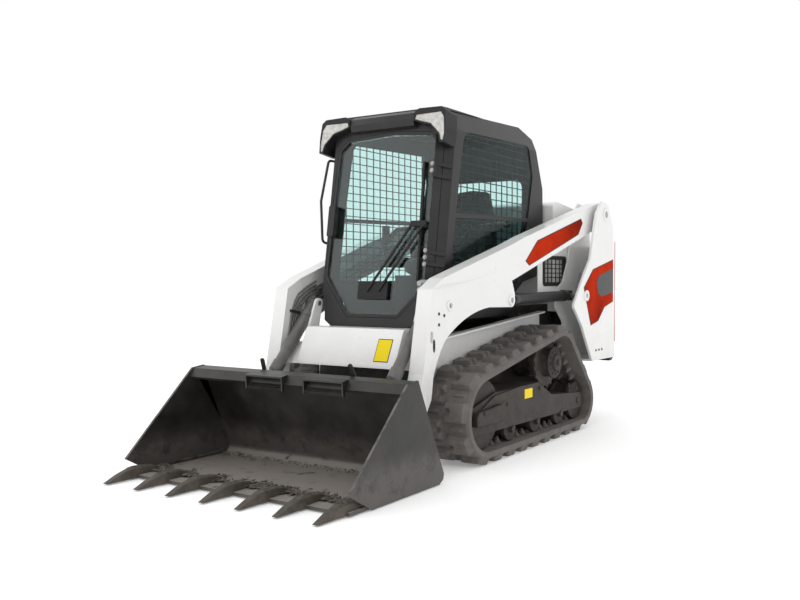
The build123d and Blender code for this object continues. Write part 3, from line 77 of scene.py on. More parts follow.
def makeFinish(name, color, rough, metal=0.0, tint=None, tintScale=6.0, tintAmount=0.3, grain=0.0,
               grainScale=180.0, roughSpread=0.08, coat=0.0, dust=(0.19, 0.15, 0.115), dustTop=0.9,
               dustAmount=0.0, chips=0.0, chipColor=(0.20, 0.19, 0.18), clear=0.0, sheen=0.0, shine=0.5,
               settle=0.0):
    # a broad noise tints the base colour, dust thickens towards the ground and on upward faces, a sharp fine
    # noise chips it, and a fine grain makes the bump
    made = bpy.data.materials.new(name)
    made.use_nodes = True
    tree = made.node_tree
    shader = tree.nodes["Principled BSDF"]
    for socket, value in (("Metallic", metal), ("Coat Weight", coat), ("Coat Roughness", 0.06),
                          ("Transmission Weight", clear), ("Sheen Weight", sheen), ("Specular IOR Level", shine),
                          ("IOR", 1.12 if clear else 1.5)):
        shader.inputs[socket].default_value = value
    coords = tree.nodes.new("ShaderNodeTexCoord").outputs["Object"]
    broad = addNode(tree, "ShaderNodeTexNoise", Scale=tintScale, Detail=8.0, Roughness=0.62)
    fine = addNode(tree, "ShaderNodeTexNoise", Scale=grainScale, Detail=4.0)
    wire(tree, [(coords, broad.inputs["Vector"]), (coords, fine.inputs["Vector"])])
    base = tree.nodes.new("ShaderNodeRGB")
    base.outputs[0].default_value = (*color, 1.0)
    shade = spread(tree, broad.outputs["Fac"], 0.40, 0.70, 0.0, tintAmount)
    surface = blendColor(tree, shade, base.outputs[0], tint or tuple(0.8 * part for part in color))
    if dustAmount > 0.0:
        split = tree.nodes.new("ShaderNodeSeparateXYZ")
        cloud = addNode(tree, "ShaderNodeTexNoise", Scale=13.0, Detail=11.0, Roughness=0.72)
        share = tree.nodes.new("ShaderNodeMath")
        share.operation, share.use_clamp = "MULTIPLY", True
        wire(tree, [(coords, split.inputs["Vector"]), (coords, cloud.inputs["Vector"]),
                    (spread(tree, cloud.outputs["Fac"], 0.32, 0.62), share.inputs[0]),
                    (spread(tree, split.outputs["Z"], 0.0, dustTop, dustAmount, 0.0), share.inputs[1])])
        lies = tree.nodes.new("ShaderNodeSeparateXYZ")
        rests = tree.nodes.new("ShaderNodeMath")
        rests.operation = "MULTIPLY"
        wire(tree, [(tree.nodes.new("ShaderNodeNewGeometry").outputs["Normal"], lies.inputs["Vector"]),
                    (share.outputs["Value"], rests.inputs[0]),
                    (spread(tree, lies.outputs["Z"], 0.2, 0.9, 1.0 - settle, 1.0), rests.inputs[1])])
        surface = blendColor(tree, rests.outputs["Value"], surface, dust)
    if chips > 0.0:
        flake = addNode(tree, "ShaderNodeTexNoise", Scale=46.0, Detail=9.0, Roughness=0.78)
        tree.links.new(coords, flake.inputs["Vector"])
        surface = blendColor(tree, spread(tree, flake.outputs["Fac"], 0.64, 0.70, 0.0, chips), surface, chipColor)
    roughness = spread(tree, broad.outputs["Fac"], 0.25, 0.75, max(rough - roughSpread, 0.0), rough + roughSpread)
    wire(tree, [(surface, shader.inputs["Base Color"]), (roughness, shader.inputs["Roughness"])])
    if grain > 0.0:
        bump = addNode(tree, "ShaderNodeBump", Strength=grain, Distance=0.002)
        wire(tree, [(fine.outputs["Fac"], bump.inputs["Height"]),
                    (bump.outputs["Normal"], shader.inputs["Normal"])])
    made.diffuse_color = (*color, 1.0)
    return made


mud = (0.135, 0.112, 0.092)
finishSpec = {
    "white_paint": dict(color=(0.80, 0.80, 0.795), rough=0.32, tint=(0.76, 0.75, 0.73), tintAmount=0.5, coat=0.35,
                        grain=0.03, grainScale=400, dustAmount=0.55, dustTop=0.72, dust=(0.40, 0.36, 0.31)),
    "dark_paint": dict(color=(0.018, 0.018, 0.018), rough=0.45, tint=(0.045, 0.043, 0.040), grain=0.12, shine=0.3,
                       dustAmount=0.55, dustTop=1.0, dust=(0.085, 0.070, 0.058)),
    "cab_paint": dict(color=(0.015, 0.0148, 0.0148), rough=0.36, tint=(0.028, 0.027, 0.026), tintAmount=0.7,
                      grain=0.16, grainScale=520, shine=0.36),
    "undercarriage_paint": dict(color=(0.018, 0.0165, 0.015), rough=0.55, tint=(0.050, 0.044, 0.038), tintScale=12,
                                tintAmount=0.8, grain=0.35, grainScale=120, shine=0.25, dustAmount=0.65,
                                dustTop=0.75, dust=(0.085, 0.070, 0.058)),
    "bucket_paint": dict(color=(0.010, 0.0093, 0.0085), rough=0.42, tint=(0.040, 0.036, 0.032), tintScale=5,
                         tintAmount=0.8, grain=0.35, grainScale=70, shine=0.5, dustAmount=2.9, dustTop=0.22,
                         settle=0.80, dust=(0.280, 0.252, 0.226), chips=0.35, chipColor=(0.10, 0.094, 0.088)),
    "dark_steel": dict(color=(0.055, 0.050, 0.045), rough=0.60, metal=0.3, tint=(0.12, 0.105, 0.088), tintScale=20,
                       tintAmount=0.9, grain=0.7, grainScale=90, shine=0.3, dustAmount=0.6, dustTop=0.5, dust=mud,
                       chips=0.6, chipColor=(0.26, 0.245, 0.23)),
    "bare_steel": dict(color=(0.40, 0.40, 0.40), rough=0.34, metal=0.9, tint=(0.26, 0.25, 0.24), tintScale=30,
                       grain=0.1),
    "chrome_rod": dict(color=(0.66, 0.66, 0.67), rough=0.12, metal=1.0, grain=0.03),
    "track_rubber": dict(color=(0.088, 0.083, 0.079), rough=0.76, tint=(0.150, 0.138, 0.128), tintScale=10,
                         tintAmount=0.9, grain=0.6, grainScale=110, shine=0.3, dustAmount=0.75, dustTop=1.2,
                         dust=(0.175, 0.158, 0.142), chips=0.35, chipColor=(0.20, 0.185, 0.17)),
    "black_plastic": dict(color=(0.012, 0.012, 0.012), rough=0.50, tint=(0.022, 0.022, 0.022), grain=0.25,
                          grainScale=300, shine=0.3),
    "cab_glass": dict(color=(0.74, 0.91, 0.895), rough=0.0, roughSpread=0.0, tint=(0.70, 0.89, 0.87), clear=1.0,
                      coat=0.12),
    "front_glass": dict(color=(0.74, 0.91, 0.895), rough=0.0, roughSpread=0.0, tint=(0.70, 0.89, 0.87), clear=1.0,
                        coat=1.0),
    "lamp_glass": dict(color=(0.62, 0.60, 0.57), rough=0.08, roughSpread=0.05, tint=(0.92, 0.90, 0.86),
                       tintScale=34, tintAmount=1.0, clear=0.35, coat=1.0, grain=0.9, grainScale=60),
    "red_lens": dict(color=(0.42, 0.018, 0.012), rough=0.12, coat=1.0, grain=0.3, grainScale=120),
    "seat_vinyl": dict(color=(0.022, 0.022, 0.023), rough=0.55, tint=(0.040, 0.039, 0.038), grain=0.5,
                       grainScale=420, sheen=0.2, shine=0.3),
    "panel_red": dict(color=(0.50, 0.030, 0.007), rough=0.34, tint=(0.20, 0.012, 0.005), tintScale=2.6,
                      tintAmount=1.0, coat=0.04, shine=0.0),
    "panel_grey": dict(color=(0.030, 0.031, 0.033), rough=0.32, tint=(0.060, 0.060, 0.062), shine=0.3),
    "label_yellow": dict(color=(0.86, 0.66, 0.006), rough=0.45, tint=(0.78, 0.58, 0.006), shine=0.2),
    "grey_paint": dict(color=(0.120, 0.118, 0.114), rough=0.36, tint=(0.070, 0.068, 0.066), tintScale=9,
                       tintAmount=0.8, grain=0.15, coat=0.2),
    # a lighter steel colour: painted highlight on the bucket side plates' front edges, and the steel of the weld
    # beads
    "painted_highlight_and_weld": dict(color=(0.150, 0.142, 0.132), rough=0.45, metal=0.4, tint=(0.030, 0.028, 0.026), tintScale=22,
                      tintAmount=1.0, grain=0.5),
    "clod": dict(color=(0.070, 0.061, 0.053), rough=0.95, tint=(0.190, 0.170, 0.150), tintScale=40, tintAmount=1.0,
                 grain=1.0, grainScale=200, shine=0.2),
}
finish = {name: makeFinish(name, **spec) for name, spec in finishSpec.items()}
slotOf = {row["node"]: row["material_slot"] for row in frame["record"]["subparts"]}
nodeFinish = {"tilt_barrel_left": "grey_paint", "tilt_barrel_right": "grey_paint", "door_hinges": "cab_paint",
              "door_glass": "front_glass"}
for nodeName, node in nodes.items():
    node.data.materials.clear()
    node.data.materials.append(finish[nodeFinish.get(nodeName, slotOf[nodeName])])
print("finishes made:", len(finish))

# soft edges on the solids, apart from the glass and the wire screens
plainNodes = {"cab_windows", "door_glass", "lamp_lenses", "side_screens"}
for nodeName, node in nodes.items():
    if nodeName in plainNodes:
        continue
    weld = node.modifiers.new("weld", "WELD")
    weld.merge_threshold = 0.00002
    flat = node.modifiers.new("flat", "DECIMATE")
    flat.decimate_type = "DISSOLVE"
    flat.angle_limit = math.radians(1.0)
    edge = node.modifiers.new("edge", "BEVEL")
    edge.width = 0.003
    edge.segments = 2
    edge.limit_method = "ANGLE"
    edge.angle_limit = math.radians(35)
    edge.use_clamp_overlap = True
print("edges softened")


def unit(vector):
    return np.asarray(vector, float) / np.linalg.norm(vector)


def gridShape(points, loopRows=False, loopCols=False, capped=False):
    # quads join each point of a grid to the next row and the next column; capped closes both end rows
    rows, cols = points.shape[:2]
    row, col = np.meshgrid(np.arange(rows - (not loopRows)), np.arange(cols - (not loopCols)), indexing="ij")
    nextRow, nextCol = (row + 1) % rows, (col + 1) % cols
    quads = np.stack([row * cols + col, row * cols + nextCol, nextRow * cols + nextCol, nextRow * cols + col], -1)
    faces = quads.reshape(-1, 4).tolist()
    if capped:
        faces += [list(range(cols))[::-1], list(range((rows - 1) * cols, rows * cols))]
    return points.reshape(-1, 3), faces


def joinShapes(shapes):
    # the points of all the shapes in one array, with each shape's faces counted on from the shapes before it
    starts = np.cumsum([0] + [len(points) for points, _ in shapes])
    faces = [[int(start) + index for index in face] for start, (_, rows) in zip(starts, shapes) for face in rows]
    return np.concatenate([points for points, _ in shapes]), faces


def turned(profile, centre, axis=(1, 0, 0), sides=24):
    # a profile spun about an axis: point = centre + along x axis + radius x (cos u x side + sin u x rise)
    axis = unit(axis)
    side = unit(np.cross(axis, (0.13, 0.21, 0.97) if abs(axis[2]) < 0.9 else (1, 0, 0)))
    rise = np.cross(axis, side)
    along, radius = np.array(profile, float).T
    turn = np.linspace(0, 2 * np.pi, sides, endpoint=False)
    ring = np.cos(turn)[:, None] * side + np.sin(turn)[:, None] * rise
    points = np.asarray(centre, float) + along[:, None, None] * axis + radius[:, None, None] * ring
    return gridShape(points, loopCols=True, capped=True)


def carried(outline, path, up=(0, 0, 1)):
    # an outline carried along a path: point = path point + a x side + b x rise, side = direction x up
    path = np.asarray(path, float)
    direction = np.gradient(path, axis=0)
    direction /= np.linalg.norm(direction, axis=1)[:, None]
    side = np.cross(direction, up)
    side /= np.linalg.norm(side, axis=1)[:, None]
    rise = np.cross(side, direction)
    a, b = np.asarray(outline, float).T
    points = path[:, None] + a[None, :, None] * side[:, None] + b[None, :, None] * rise[:, None]
    return gridShape(points, loopCols=True, capped=True)


def ringOutline(radius, sides=10):
    # circle: a = r cos u, b = r sin u
    turn = np.linspace(0, 2 * np.pi, sides, endpoint=False)
    return np.stack([radius * np.cos(turn), radius * np.sin(turn)], 1)


def easedPath(points, rounds=3):
    # corner cutting: each corner is replaced by the points a quarter of the way along its two runs
    points = np.asarray(points, float)
    for _ in range(rounds):
        before, after = points[:-1], points[1:]
        cut = np.stack([0.75 * before + 0.25 * after, 0.25 * before + 0.75 * after], 1).reshape(-1, 3)
        points = np.concatenate([points[:1], cut[1:-1], points[-1:]])
    return points


def slab(outline, low, high, place):
    # a flat outline given a thickness: point = place(a, b, low) and place(a, b, high)
    a, b = np.asarray(outline, float).T
    return gridShape(np.stack([place(a, b, low), place(a, b, high)]), loopCols=True, capped=True)


def swollenBox(centre, size, power, rows, cols):
    # superellipsoid: x = sx |cos u cos v|^p, y = sy |cos u sin v|^p, z = sz |sin u|^p, each with its sign
    u = np.linspace(-np.pi / 2, np.pi / 2, rows)[:, None]
    v = np.linspace(0, 2 * np.pi, cols, endpoint=False)[None, :]
    raw = np.stack([np.cos(u) * np.cos(v), np.cos(u) * np.sin(v), np.sin(u) * np.ones_like(v)], -1)
    points = np.sign(raw) * np.abs(raw) ** power * np.asarray(size, float) / 2 + np.asarray(centre, float)
    return gridShape(points, loopCols=True)


def stampAt(shape, places):
    # the same small shape set down at each place
    points, faces = shape
    return joinShapes([(points + np.asarray(place, float), faces) for place in places])


def boltHead(axis, radius, height=None, washer=1.45):
    # a six-sided head on a round washer, both spun about the bolt's axis
    height = height or radius * 0.75
    plate = turned([(0, radius * washer), (height * 0.28, radius * washer)], (0, 0, 0), axis, 14)
    head = turned([(0, radius), (height * 0.85, radius), (height, radius * 0.86)], (0, 0, 0), axis, 6)
    return joinShapes([plate, head])


def makePiece(name, shape, body, slot, look=None, edge=0.0, sharp=35.0, stands=()):
    # a mesh with its look (the slot's finish unless another look is given), sharp lines and rounded edges, on its
    # body, with the nodes it replaces hidden
    mesh = bpy.data.meshes.new(name)
    mesh.from_pydata(np.asarray(shape[0]).tolist(), [], shape[1])
    tidy = bmesh.new()
    tidy.from_mesh(mesh)
    bmesh.ops.remove_doubles(tidy, verts=tidy.verts, dist=1e-5)
    bmesh.ops.recalc_face_normals(tidy, faces=tidy.faces)
    tidy.to_mesh(mesh)
    tidy.free()
    mesh.polygons.foreach_set("use_smooth", np.ones(len(mesh.polygons), bool))
    mesh.set_sharp_from_angle(angle=math.radians(sharp))
    mesh.materials.append(finish[look or slot])
    piece = bpy.data.objects.new(name, mesh)
    scene.collection.objects.link(piece)
    if edge > 0.0:
        rounding = piece.modifiers.new("edge", "BEVEL")
        rounding.width, rounding.segments = edge, 2
        rounding.limit_method, rounding.angle_limit = "ANGLE", math.radians(35)
    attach(piece, body)
    if stands:
        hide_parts(*stands)
    return piece


leanAngle = math.radians(8.25)      # the cab's front leans back


def onFront(x, height, out):
    # a place on the sloping front: y and z follow the slope up by height and leave it by out
    x, height, out = np.broadcast_arrays(*[np.asarray(part, float) for part in (x, height, out)])
    return np.stack([x, -0.407 + height * math.sin(leanAngle) - out * math.cos(leanAngle),
                     0.700 + height * math.cos(leanAngle) + out * math.sin(leanAngle)], -1)


def onSide(face):
    # places on an upright side face: x = +-face, growing outwards
    return lambda a, b, out: np.stack([np.sign(face) * (abs(face) + out) * np.ones_like(a), a, b], -1)


# tracks: the belt's inner face lies against three wheels (y, z, radius)
beltWheels = np.array([(-0.252, 0.260, 0.190), (0.938, 0.190, 0.120), (0.638, 0.460, 0.165)])
trackSpec = dict(count=576, lugs=24, belt=0.038, lug=0.031, centre=0.550, half=0.148, guide=0.034,
                 shoulder=0.128, shoulderRun=0.020, drop=0.009, across=41, back=33)
# each form on the belt: its span and slope along it, in shares of a pitch, and its span and slope across it
treadForms = {
    "block": ((0.0, 0.62, 0.07), (0.008, 0.136, 0.009)),
    "cut": ((0.22, 0.40, 0.05), (-0.02, 0.048, 0.012)),
    "bar": ((0.72, 0.88, 0.05), (0.030, 0.112, 0.012)),
    "horn": ((0.22, 0.70, 0.16), (0.022, 0.060, 0.012)),
}


def beltLoop(wheels, count):
    # in each direction the belt is on the wheel that reaches furthest: point = centre + radius x direction
    turn = np.linspace(0, 2 * np.pi, 7200, endpoint=False)
    way = np.stack([np.cos(turn), np.sin(turn)], 1)
    reach = way @ wheels[:, :2].T + wheels[:, 2]
    best = reach.argmax(1)
    line = wheels[best, :2] + wheels[best, 2:] * way
    line = np.concatenate([line, line[:1]])
    run = np.concatenate([[0], np.cumsum(np.linalg.norm(np.diff(line, axis=0), axis=1))])
    even = np.linspace(0, run[-1], count, endpoint=False)
    return np.stack([np.interp(even, run, line[:, 0]), np.interp(even, run, line[:, 1])], 1), run[-1]


def ramp(value, low, high, slope):
    # 0 outside low..high, 1 inside, straight slopes between
    return np.clip((value - low) / slope, 0, 1) * np.clip((high - value) / slope, 0, 1)


def treadForm(kind, place, across):
    # share of the full height = ramp along the belt x ramp across it
    alongSpan, acrossSpan = treadForms[kind]
    return ramp(place, *alongSpan) * ramp(np.abs(across), *acrossSpan)


def trackShape(side):
    # point = belt line + outward x height, where the height is the belt's with its blocks, or the guide horns'
    spec = trackSpec
    line, length = beltLoop(beltWheels, spec["count"])
    ahead = np.roll(line, -3, 0) - np.roll(line, 3, 0)
    ahead /= np.linalg.norm(ahead, axis=1)[:, None]
    outward = np.stack([ahead[:, 1], -ahead[:, 0]], 1)
    phase = np.arange(spec["count"])[:, None] * spec["lugs"] / spec["count"]
    across = np.linspace(-1, 1, spec["across"])[None, :] * spec["half"]
    # two rows of blocks half a pitch apart, each block cut in from its outer side
    row = (across < 0) * 0.5
    place = (phase + row) % 1.0
    block = treadForm("block", place, across) * (1 - 0.85 * treadForm("cut", place, across))
    bar = 0.35 * treadForm("bar", place, across)
    edgeDrop = spec["drop"] * np.clip((np.abs(across) - spec["shoulder"]) / spec["shoulderRun"], 0, 1) ** 2
    outer = spec["belt"] - edgeDrop + spec["lug"] * np.maximum(block, bar)
    back = np.linspace(1, -1, spec["back"])[None, :] * (spec["half"] - 0.004)
    horn = treadForm("horn", (phase * 2.0) % 1.0, back)
    inner = -spec["guide"] * horn + 0.002 * np.abs(back) / spec["half"] + 0.0 * phase
    height = np.concatenate([outer, inner], 1)
    x = np.concatenate([across + 0.0 * phase, back + 0.0 * phase], 1)
    spot = line[:, None] + outward[:, None] * height[..., None]
    points = np.stack([side * (spec["centre"] + x), spot[..., 0], spot[..., 1]], -1)
    return gridShape(points, loopRows=True, loopCols=True)


for side, name in ((1, "left"), (-1, "right")):
    makePiece("tread_" + name, trackShape(side), "chassis", "track_rubber", stands=["track_" + name], sharp=32)
print("tracks made")

# the boxed front of each track frame, with its bolts and blank label
frameSpec = dict(face=0.652, reach=0.034,
                 front=[(-0.372, 0.212), (-0.372, 0.262), (-0.352, 0.284), (-0.105, 0.302), (-0.098, 0.296),
                        (-0.098, 0.222), (-0.110, 0.206)],
                 upper=[(-0.300, 0.286), (-0.150, 0.350), (0.120, 0.368), (0.120, 0.340), (-0.090, 0.300)],
                 label=[(0.205, 0.288), (0.300, 0.288), (0.300, 0.342), (0.205, 0.342)],
                 bolts=[(-0.300, 0.275), (-0.060, 0.292), (0.395, 0.330), (0.800, 0.300), (0.905, 0.270)])
for side, name in ((1, "left"), (-1, "right")):
    place = onSide(side * frameSpec["face"])
    makePiece("frame_box_" + name, slab(frameSpec["front"], -0.002, frameSpec["reach"], place), "chassis",
              "undercarriage_paint", edge=0.005)
    makePiece("frame_rib_" + name, slab(frameSpec["upper"], -0.002, 0.012, place), "chassis",
              "undercarriage_paint", edge=0.004)
    makePiece("frame_label_" + name, slab(frameSpec["label"], 0.0, 0.0012, place), "chassis",
              None, look="label_yellow")
    spots = [(side * (frameSpec["face"] + (frameSpec["reach"] if y < 0.02 else 0.0)), y, z)
             for y, z in frameSpec["bolts"]]
    makePiece("frame_bolts_" + name, stampAt(boltHead((side, 0, 0), 0.010), spots), "chassis",
              "undercarriage_paint")
# each drive hub: a stepped cap, its ring of bolts and a drain plug
hubSpec = dict(centre=(0.638, 0.460), face=0.628, ring=0.072, bolt=0.0085)
for side, name in ((1, "left"), (-1, "right")):
    centre = (side * hubSpec["face"], *hubSpec["centre"])
    steps = [(-0.004, 0.098), (0.004, 0.098), (0.010, 0.090), (0.012, 0.058), (0.026, 0.050), (0.030, 0.020),
             (0.038, 0.018), (0.039, 0.010)]
    cap = turned(steps, centre, (side, 0, 0), 48)
    around = np.linspace(0, 2 * np.pi, 12, endpoint=False)
    ring = [(side * (hubSpec["face"] + 0.009), centre[1] + hubSpec["ring"] * math.cos(turn),
             centre[2] + hubSpec["ring"] * math.sin(turn)) for turn in around]
    makePiece("hub_cap_" + name, joinShapes([cap, stampAt(boltHead((side, 0, 0), hubSpec["bolt"]), ring)]),
              "chassis", "undercarriage_paint")
print("track frames detailed")


# coloured panels on the arms' and towers' outer faces, each with a darker border under it
armFace = dict(y=[-0.781, -0.452, 0.150, 1.450], x=[0.534, 0.534, 0.605, 0.645])
towerFace = 0.688


def onArm(side):
    # places on an arm's outer face: x follows the face's bends along y
    return lambda a, b, out: np.stack([side * (np.interp(a, armFace["y"], armFace["x"]) + out), a, b], -1)


def insetOutline(outline, depth):
    # each corner moved in along the two neighbouring edges' inward normals by the same depth
    points = np.asarray(outline, float)
    area = 0.5 * np.sum(points[:, 0] * np.roll(points[:, 1], -1) - np.roll(points[:, 0], -1) * points[:, 1])
    run = np.roll(points, -1, 0) - points
    run /= np.linalg.norm(run, axis=1)[:, None]
    normal = np.sign(area) * np.stack([-run[:, 1], run[:, 0]], 1)
    before = np.roll(normal, 1, 0)
    return points + depth * (normal + before) / (1 + np.sum(normal * before, 1))[:, None]


panelSpec = {
    "arm_panel": dict(outline=[(0.293, 1.082), (0.436, 1.208), (1.027, 1.374), (1.051, 1.345), (0.988, 1.266),
                               (0.338, 1.056)], inset=0.005),
    "tower_panel": dict(outline=[(1.446, 1.113), (1.097, 1.042), (0.949, 0.921), (1.062, 0.670), (1.187, 0.695),
                                 (1.295, 0.785), (1.446, 0.820)], inset=0.005),
}
greyInset = [(1.190, 1.000), (1.150, 0.955), (1.175, 0.880), (1.240, 0.858), (1.440, 0.885), (1.440, 1.050)]
rearStrip = [(1.474, 0.540), (1.482, 0.540), (1.482, 1.235), (1.474, 1.235)]
for side, name in ((1, "left"), (-1, "right")):
    onTower = onSide(side * towerFace)
    for kind, body, place in (("arm_panel", "lift_arm", onArm(side)), ("tower_panel", "chassis", onTower)):
        spec = panelSpec[kind]
        makePiece(f"{kind}_edge_{name}", slab(spec["outline"], 0.0, 0.0012, place), body, "black_plastic")
        makePiece(f"{kind}_{name}", slab(insetOutline(spec["outline"], spec["inset"]), 0.001, 0.0026, place), body,
                  "red_lens", look="panel_red", edge=0.0008)
    makePiece("grey_inset_" + name, slab(greyInset, 0.002, 0.0042, onTower), "chassis",
              "black_plastic", look="panel_grey", edge=0.0008)
    makePiece("rear_strip_" + name, slab(rearStrip, 0.0, 0.0012, onTower), "chassis", "red_lens",
              look="panel_red")
print("panels made")


# bucket teeth: sections along y, each (y, half width, z low, z high), wider at the adapter and chisel-ended
toothSpec = dict(spots=np.linspace(-0.657, 0.657, 7),
                 sections=[(-1.255, 0.027, 0.024, 0.029), (-1.300, 0.027, 0.023, 0.050),
                           (-1.350, 0.027, 0.022, 0.058), (-1.385, 0.027, 0.016, 0.059),
                           (-1.402, 0.027, 0.005, 0.059), (-1.425, 0.026, 0.005, 0.058),
                           (-1.440, 0.022, 0.006, 0.054), (-1.500, 0.019, 0.006, 0.036),
                           (-1.548, 0.017, 0.006, 0.014), (-1.561, 0.015, 0.007, 0.010)])


def toothShape(x):
    # each section is a box with trimmed corners, its top a little narrower than its foot
    rows = []
    for y, half, low, high in toothSpec["sections"]:
        trim = 0.22 * min(half, (high - low) / 2)
        ring = [(-half + trim, low), (half - trim, low), (half, low + trim), (half * 0.94, high - trim),
                (half * 0.94 - trim, high), (-half * 0.94 + trim, high), (-half * 0.94, high - trim),
                (-half, low + trim)]
        rows.append([(x + a, y, b) for a, b in ring])
    return gridShape(np.array(rows), loopCols=True, capped=True)


makePiece("tooth_blades", joinShapes([toothShape(x) for x in toothSpec["spots"]]), "bucket", "dark_steel",
          stands=["teeth"], edge=0.002)

# dirt left in the bucket: flattened lumps, thick along the cutting edge and thin along the back of the floor
seed = np.random.default_rng(11)


def lump(centre, size):
    # sphere: point = centre + size x (cos u cos v, cos u sin v, sin u) x a random roughness
    u = np.linspace(-np.pi / 2, np.pi / 2, 7)[:, None]
    v = np.linspace(0, 2 * np.pi, 10, endpoint=False)[None, :]
    rough = 1 + 0.28 * seed.standard_normal((7, 10))
    rough[0], rough[-1] = rough[0, 0], rough[-1, 0]
    raw = np.stack([np.cos(u) * np.cos(v), np.cos(u) * np.sin(v), np.sin(u) * np.ones_like(v)], -1)
    return gridShape(np.asarray(centre) + raw * rough[..., None] * np.asarray(size), loopCols=True)


clodSpec = dict(edge=900, back=420, tooth=44)
lumps = []
for _ in range(clodSpec["edge"]):
    size = seed.uniform(0.002, 0.0085)
    x = toothSpec["spots"][seed.integers(0, 7)] + seed.normal(0, 0.055)
    y = -1.300 + abs(seed.normal(0, 0.045)) - 0.02
    lumps.append(lump((np.clip(x, -0.68, 0.68), y, 0.031), (size * 1.3, size * 1.5, size * 0.6)))
for _ in range(clodSpec["back"]):
    size = seed.uniform(0.001, 0.0042)
    lumps.append(lump((seed.uniform(-0.685, 0.685), -0.815 - abs(seed.normal(0, 0.035)), 0.030 + size * 0.3),
                      (size, size, size * 0.7)))
for x in toothSpec["spots"]:
    for _ in range(clodSpec["tooth"]):
        size = seed.uniform(0.002, 0.0065)
        y = seed.uniform(-1.430, -1.300)
        high = float(np.interp(-y, [1.255, 1.300, 1.385, 1.440], [0.029, 0.050, 0.059, 0.054]))
        lumps.append(lump((x + seed.uniform(-0.020, 0.020), y, high), (size * 1.2, size * 1.4, size * 0.55)))
makePiece("dirt", joinShapes(lumps), "bucket", "dark_steel", look="clod", sharp=80)
# lighter strips on the side plates' front edges, which are a painted highlight for the light those edges catch,
# and weld beads in the floor's corners
plateSpec = dict(low=0.6980, high=0.7100, edge=[(-1.0090, 0.5080), (-1.4170, 0.0960), (-1.4165, 0.0920),
                                               (-1.4120, 0.0940), (-1.0060, 0.5040)],
                 weld=[(-0.800, 0.040), (-0.850, 0.031), (-1.000, 0.030), (-1.240, 0.030)], weldX=0.6935)
edgeHighlights, beads = [], []
for side in (1, -1):
    edgeHighlights.append(slab(plateSpec["edge"], plateSpec["low"], plateSpec["high"],
                       lambda a, b, out: np.stack([side * out + 0 * a, a, b], -1)))
    route = easedPath([(side * plateSpec["weldX"], y, z) for y, z in plateSpec["weld"]], 5)
    points, faces = carried(ringOutline(0.005, 8), route)
    # ripples along the bead: each ring grows and shrinks by a fifth
    rings = points.reshape(len(route), 8, 3)
    swell = 1 + 0.2 * np.sin(np.arange(len(route)) * 1.9)
    middle = rings.mean(1, keepdims=True)
    beads.append(((middle + (rings - middle) * swell[:, None, None]).reshape(-1, 3), faces))
# painted highlight: lighter strips along the side plates' front edges
makePiece("plate_edge_painted_highlight", joinShapes(edgeHighlights), "bucket", "bucket_paint", look="painted_highlight_and_weld")
makePiece("weld_beads", joinShapes(beads), "bucket", "bucket_paint", look="painted_highlight_and_weld", sharp=80)
print("bucket dressed")


# the front member's one-piece face, its blank label, and the pipes clamped down the inside of the right arm
memberSpec = dict(half=0.334, top=(-0.534, 0.702), foot=(-0.609, 0.532),
                  outline=[(-0.505, 0.7165), (-0.526, 0.714), (-0.534, 0.702), (-0.609, 0.532), (-0.611, 0.518),
                           (-0.560, 0.518), (-0.505, 0.640)],
                  label=(0.190, 0.284, 0.548, 0.664))
skin = memberSpec["outline"]
makePiece("member_face", gridShape(np.array([[(x, y, z) for y, z in skin] for x in (-memberSpec["half"], 0.0,
                                                                                  memberSpec["half"])]),
                                   loopCols=True, capped=True), "lift_arm", "white_paint", edge=0.002)


def onMember(x, z, out):
    # the face slopes straight from top to foot: y = top + share of the way down x run, moved out by its normal
    (topY, topZ), (footY, footZ) = memberSpec["top"], memberSpec["foot"]
    share = (topZ - z) / (topZ - footZ)
    tilt = math.atan2(topY - footY, topZ - footZ)
    return np.stack([x, topY + share * (footY - topY) - out * math.cos(tilt), z + out * math.sin(tilt)], -1)


x0, x1, z0, z1 = memberSpec["label"]
for low, high, inset, look in ((0.0, 0.0010, 0.0, "black_plastic"), (0.0008, 0.0018, 0.004, "label_yellow")):
    left, right, foot, head = x0 + inset, x1 - inset, z0 + inset, z1 - inset
    makePiece("member_label_" + look, slab([(left, foot), (right, foot), (right, head), (left, head)], low, high,
                                           onMember), "lift_arm", None, look=look)

# four nested pipes: each turns its corner one step inside the one before
pipeSpec = dict(radius=0.0055, x=-0.4385, step=0.021, start=-0.335, corner=(-0.520, 0.900), foot=0.560)
pipes, clamps = [], []
for index in range(4):
    inset = pipeSpec["step"] * index
    y, z = pipeSpec["corner"]
    route = [(pipeSpec["start"], z + 0.065 - inset), (y + 0.095, z + 0.028 - inset),
             (y + 0.6 * inset, z - 0.035 - inset),
             (y - 0.055 + 0.8 * inset, pipeSpec["foot"] + 0.040), (y - 0.058 + 0.8 * inset, pipeSpec["foot"])]
    path = easedPath([(pipeSpec["x"], a, b) for a, b in route], 2)
    pipes.append(carried(ringOutline(pipeSpec["radius"]), path, up=(1, 0, 0)))
makePiece("knee_pipes", joinShapes(pipes), "lift_arm", "dark_paint", look="grey_paint")
for z, y in ((0.800, -0.548), (0.640, -0.572)):
    clamps.append(slab([(y, z - 0.008), (y + 0.090, z - 0.026), (y + 0.090, z - 0.010), (y, z + 0.008)],
                       -0.002, 0.0125, lambda a, b, out: np.stack([-0.444 + out + 0 * a, a, b], -1)))
makePiece("pipe_clamps", joinShapes(clamps), "lift_arm", "dark_paint", edge=0.001)
print("front dressed")


def oval(centre, half, count=24):
    # y = centre + half width x cos u, z = centre + half height x sin u
    turn = np.linspace(0, 2 * np.pi, count, endpoint=False)
    return [(centre[0] + half[0] * math.cos(u), centre[1] + half[1] * math.sin(u)) for u in turn]
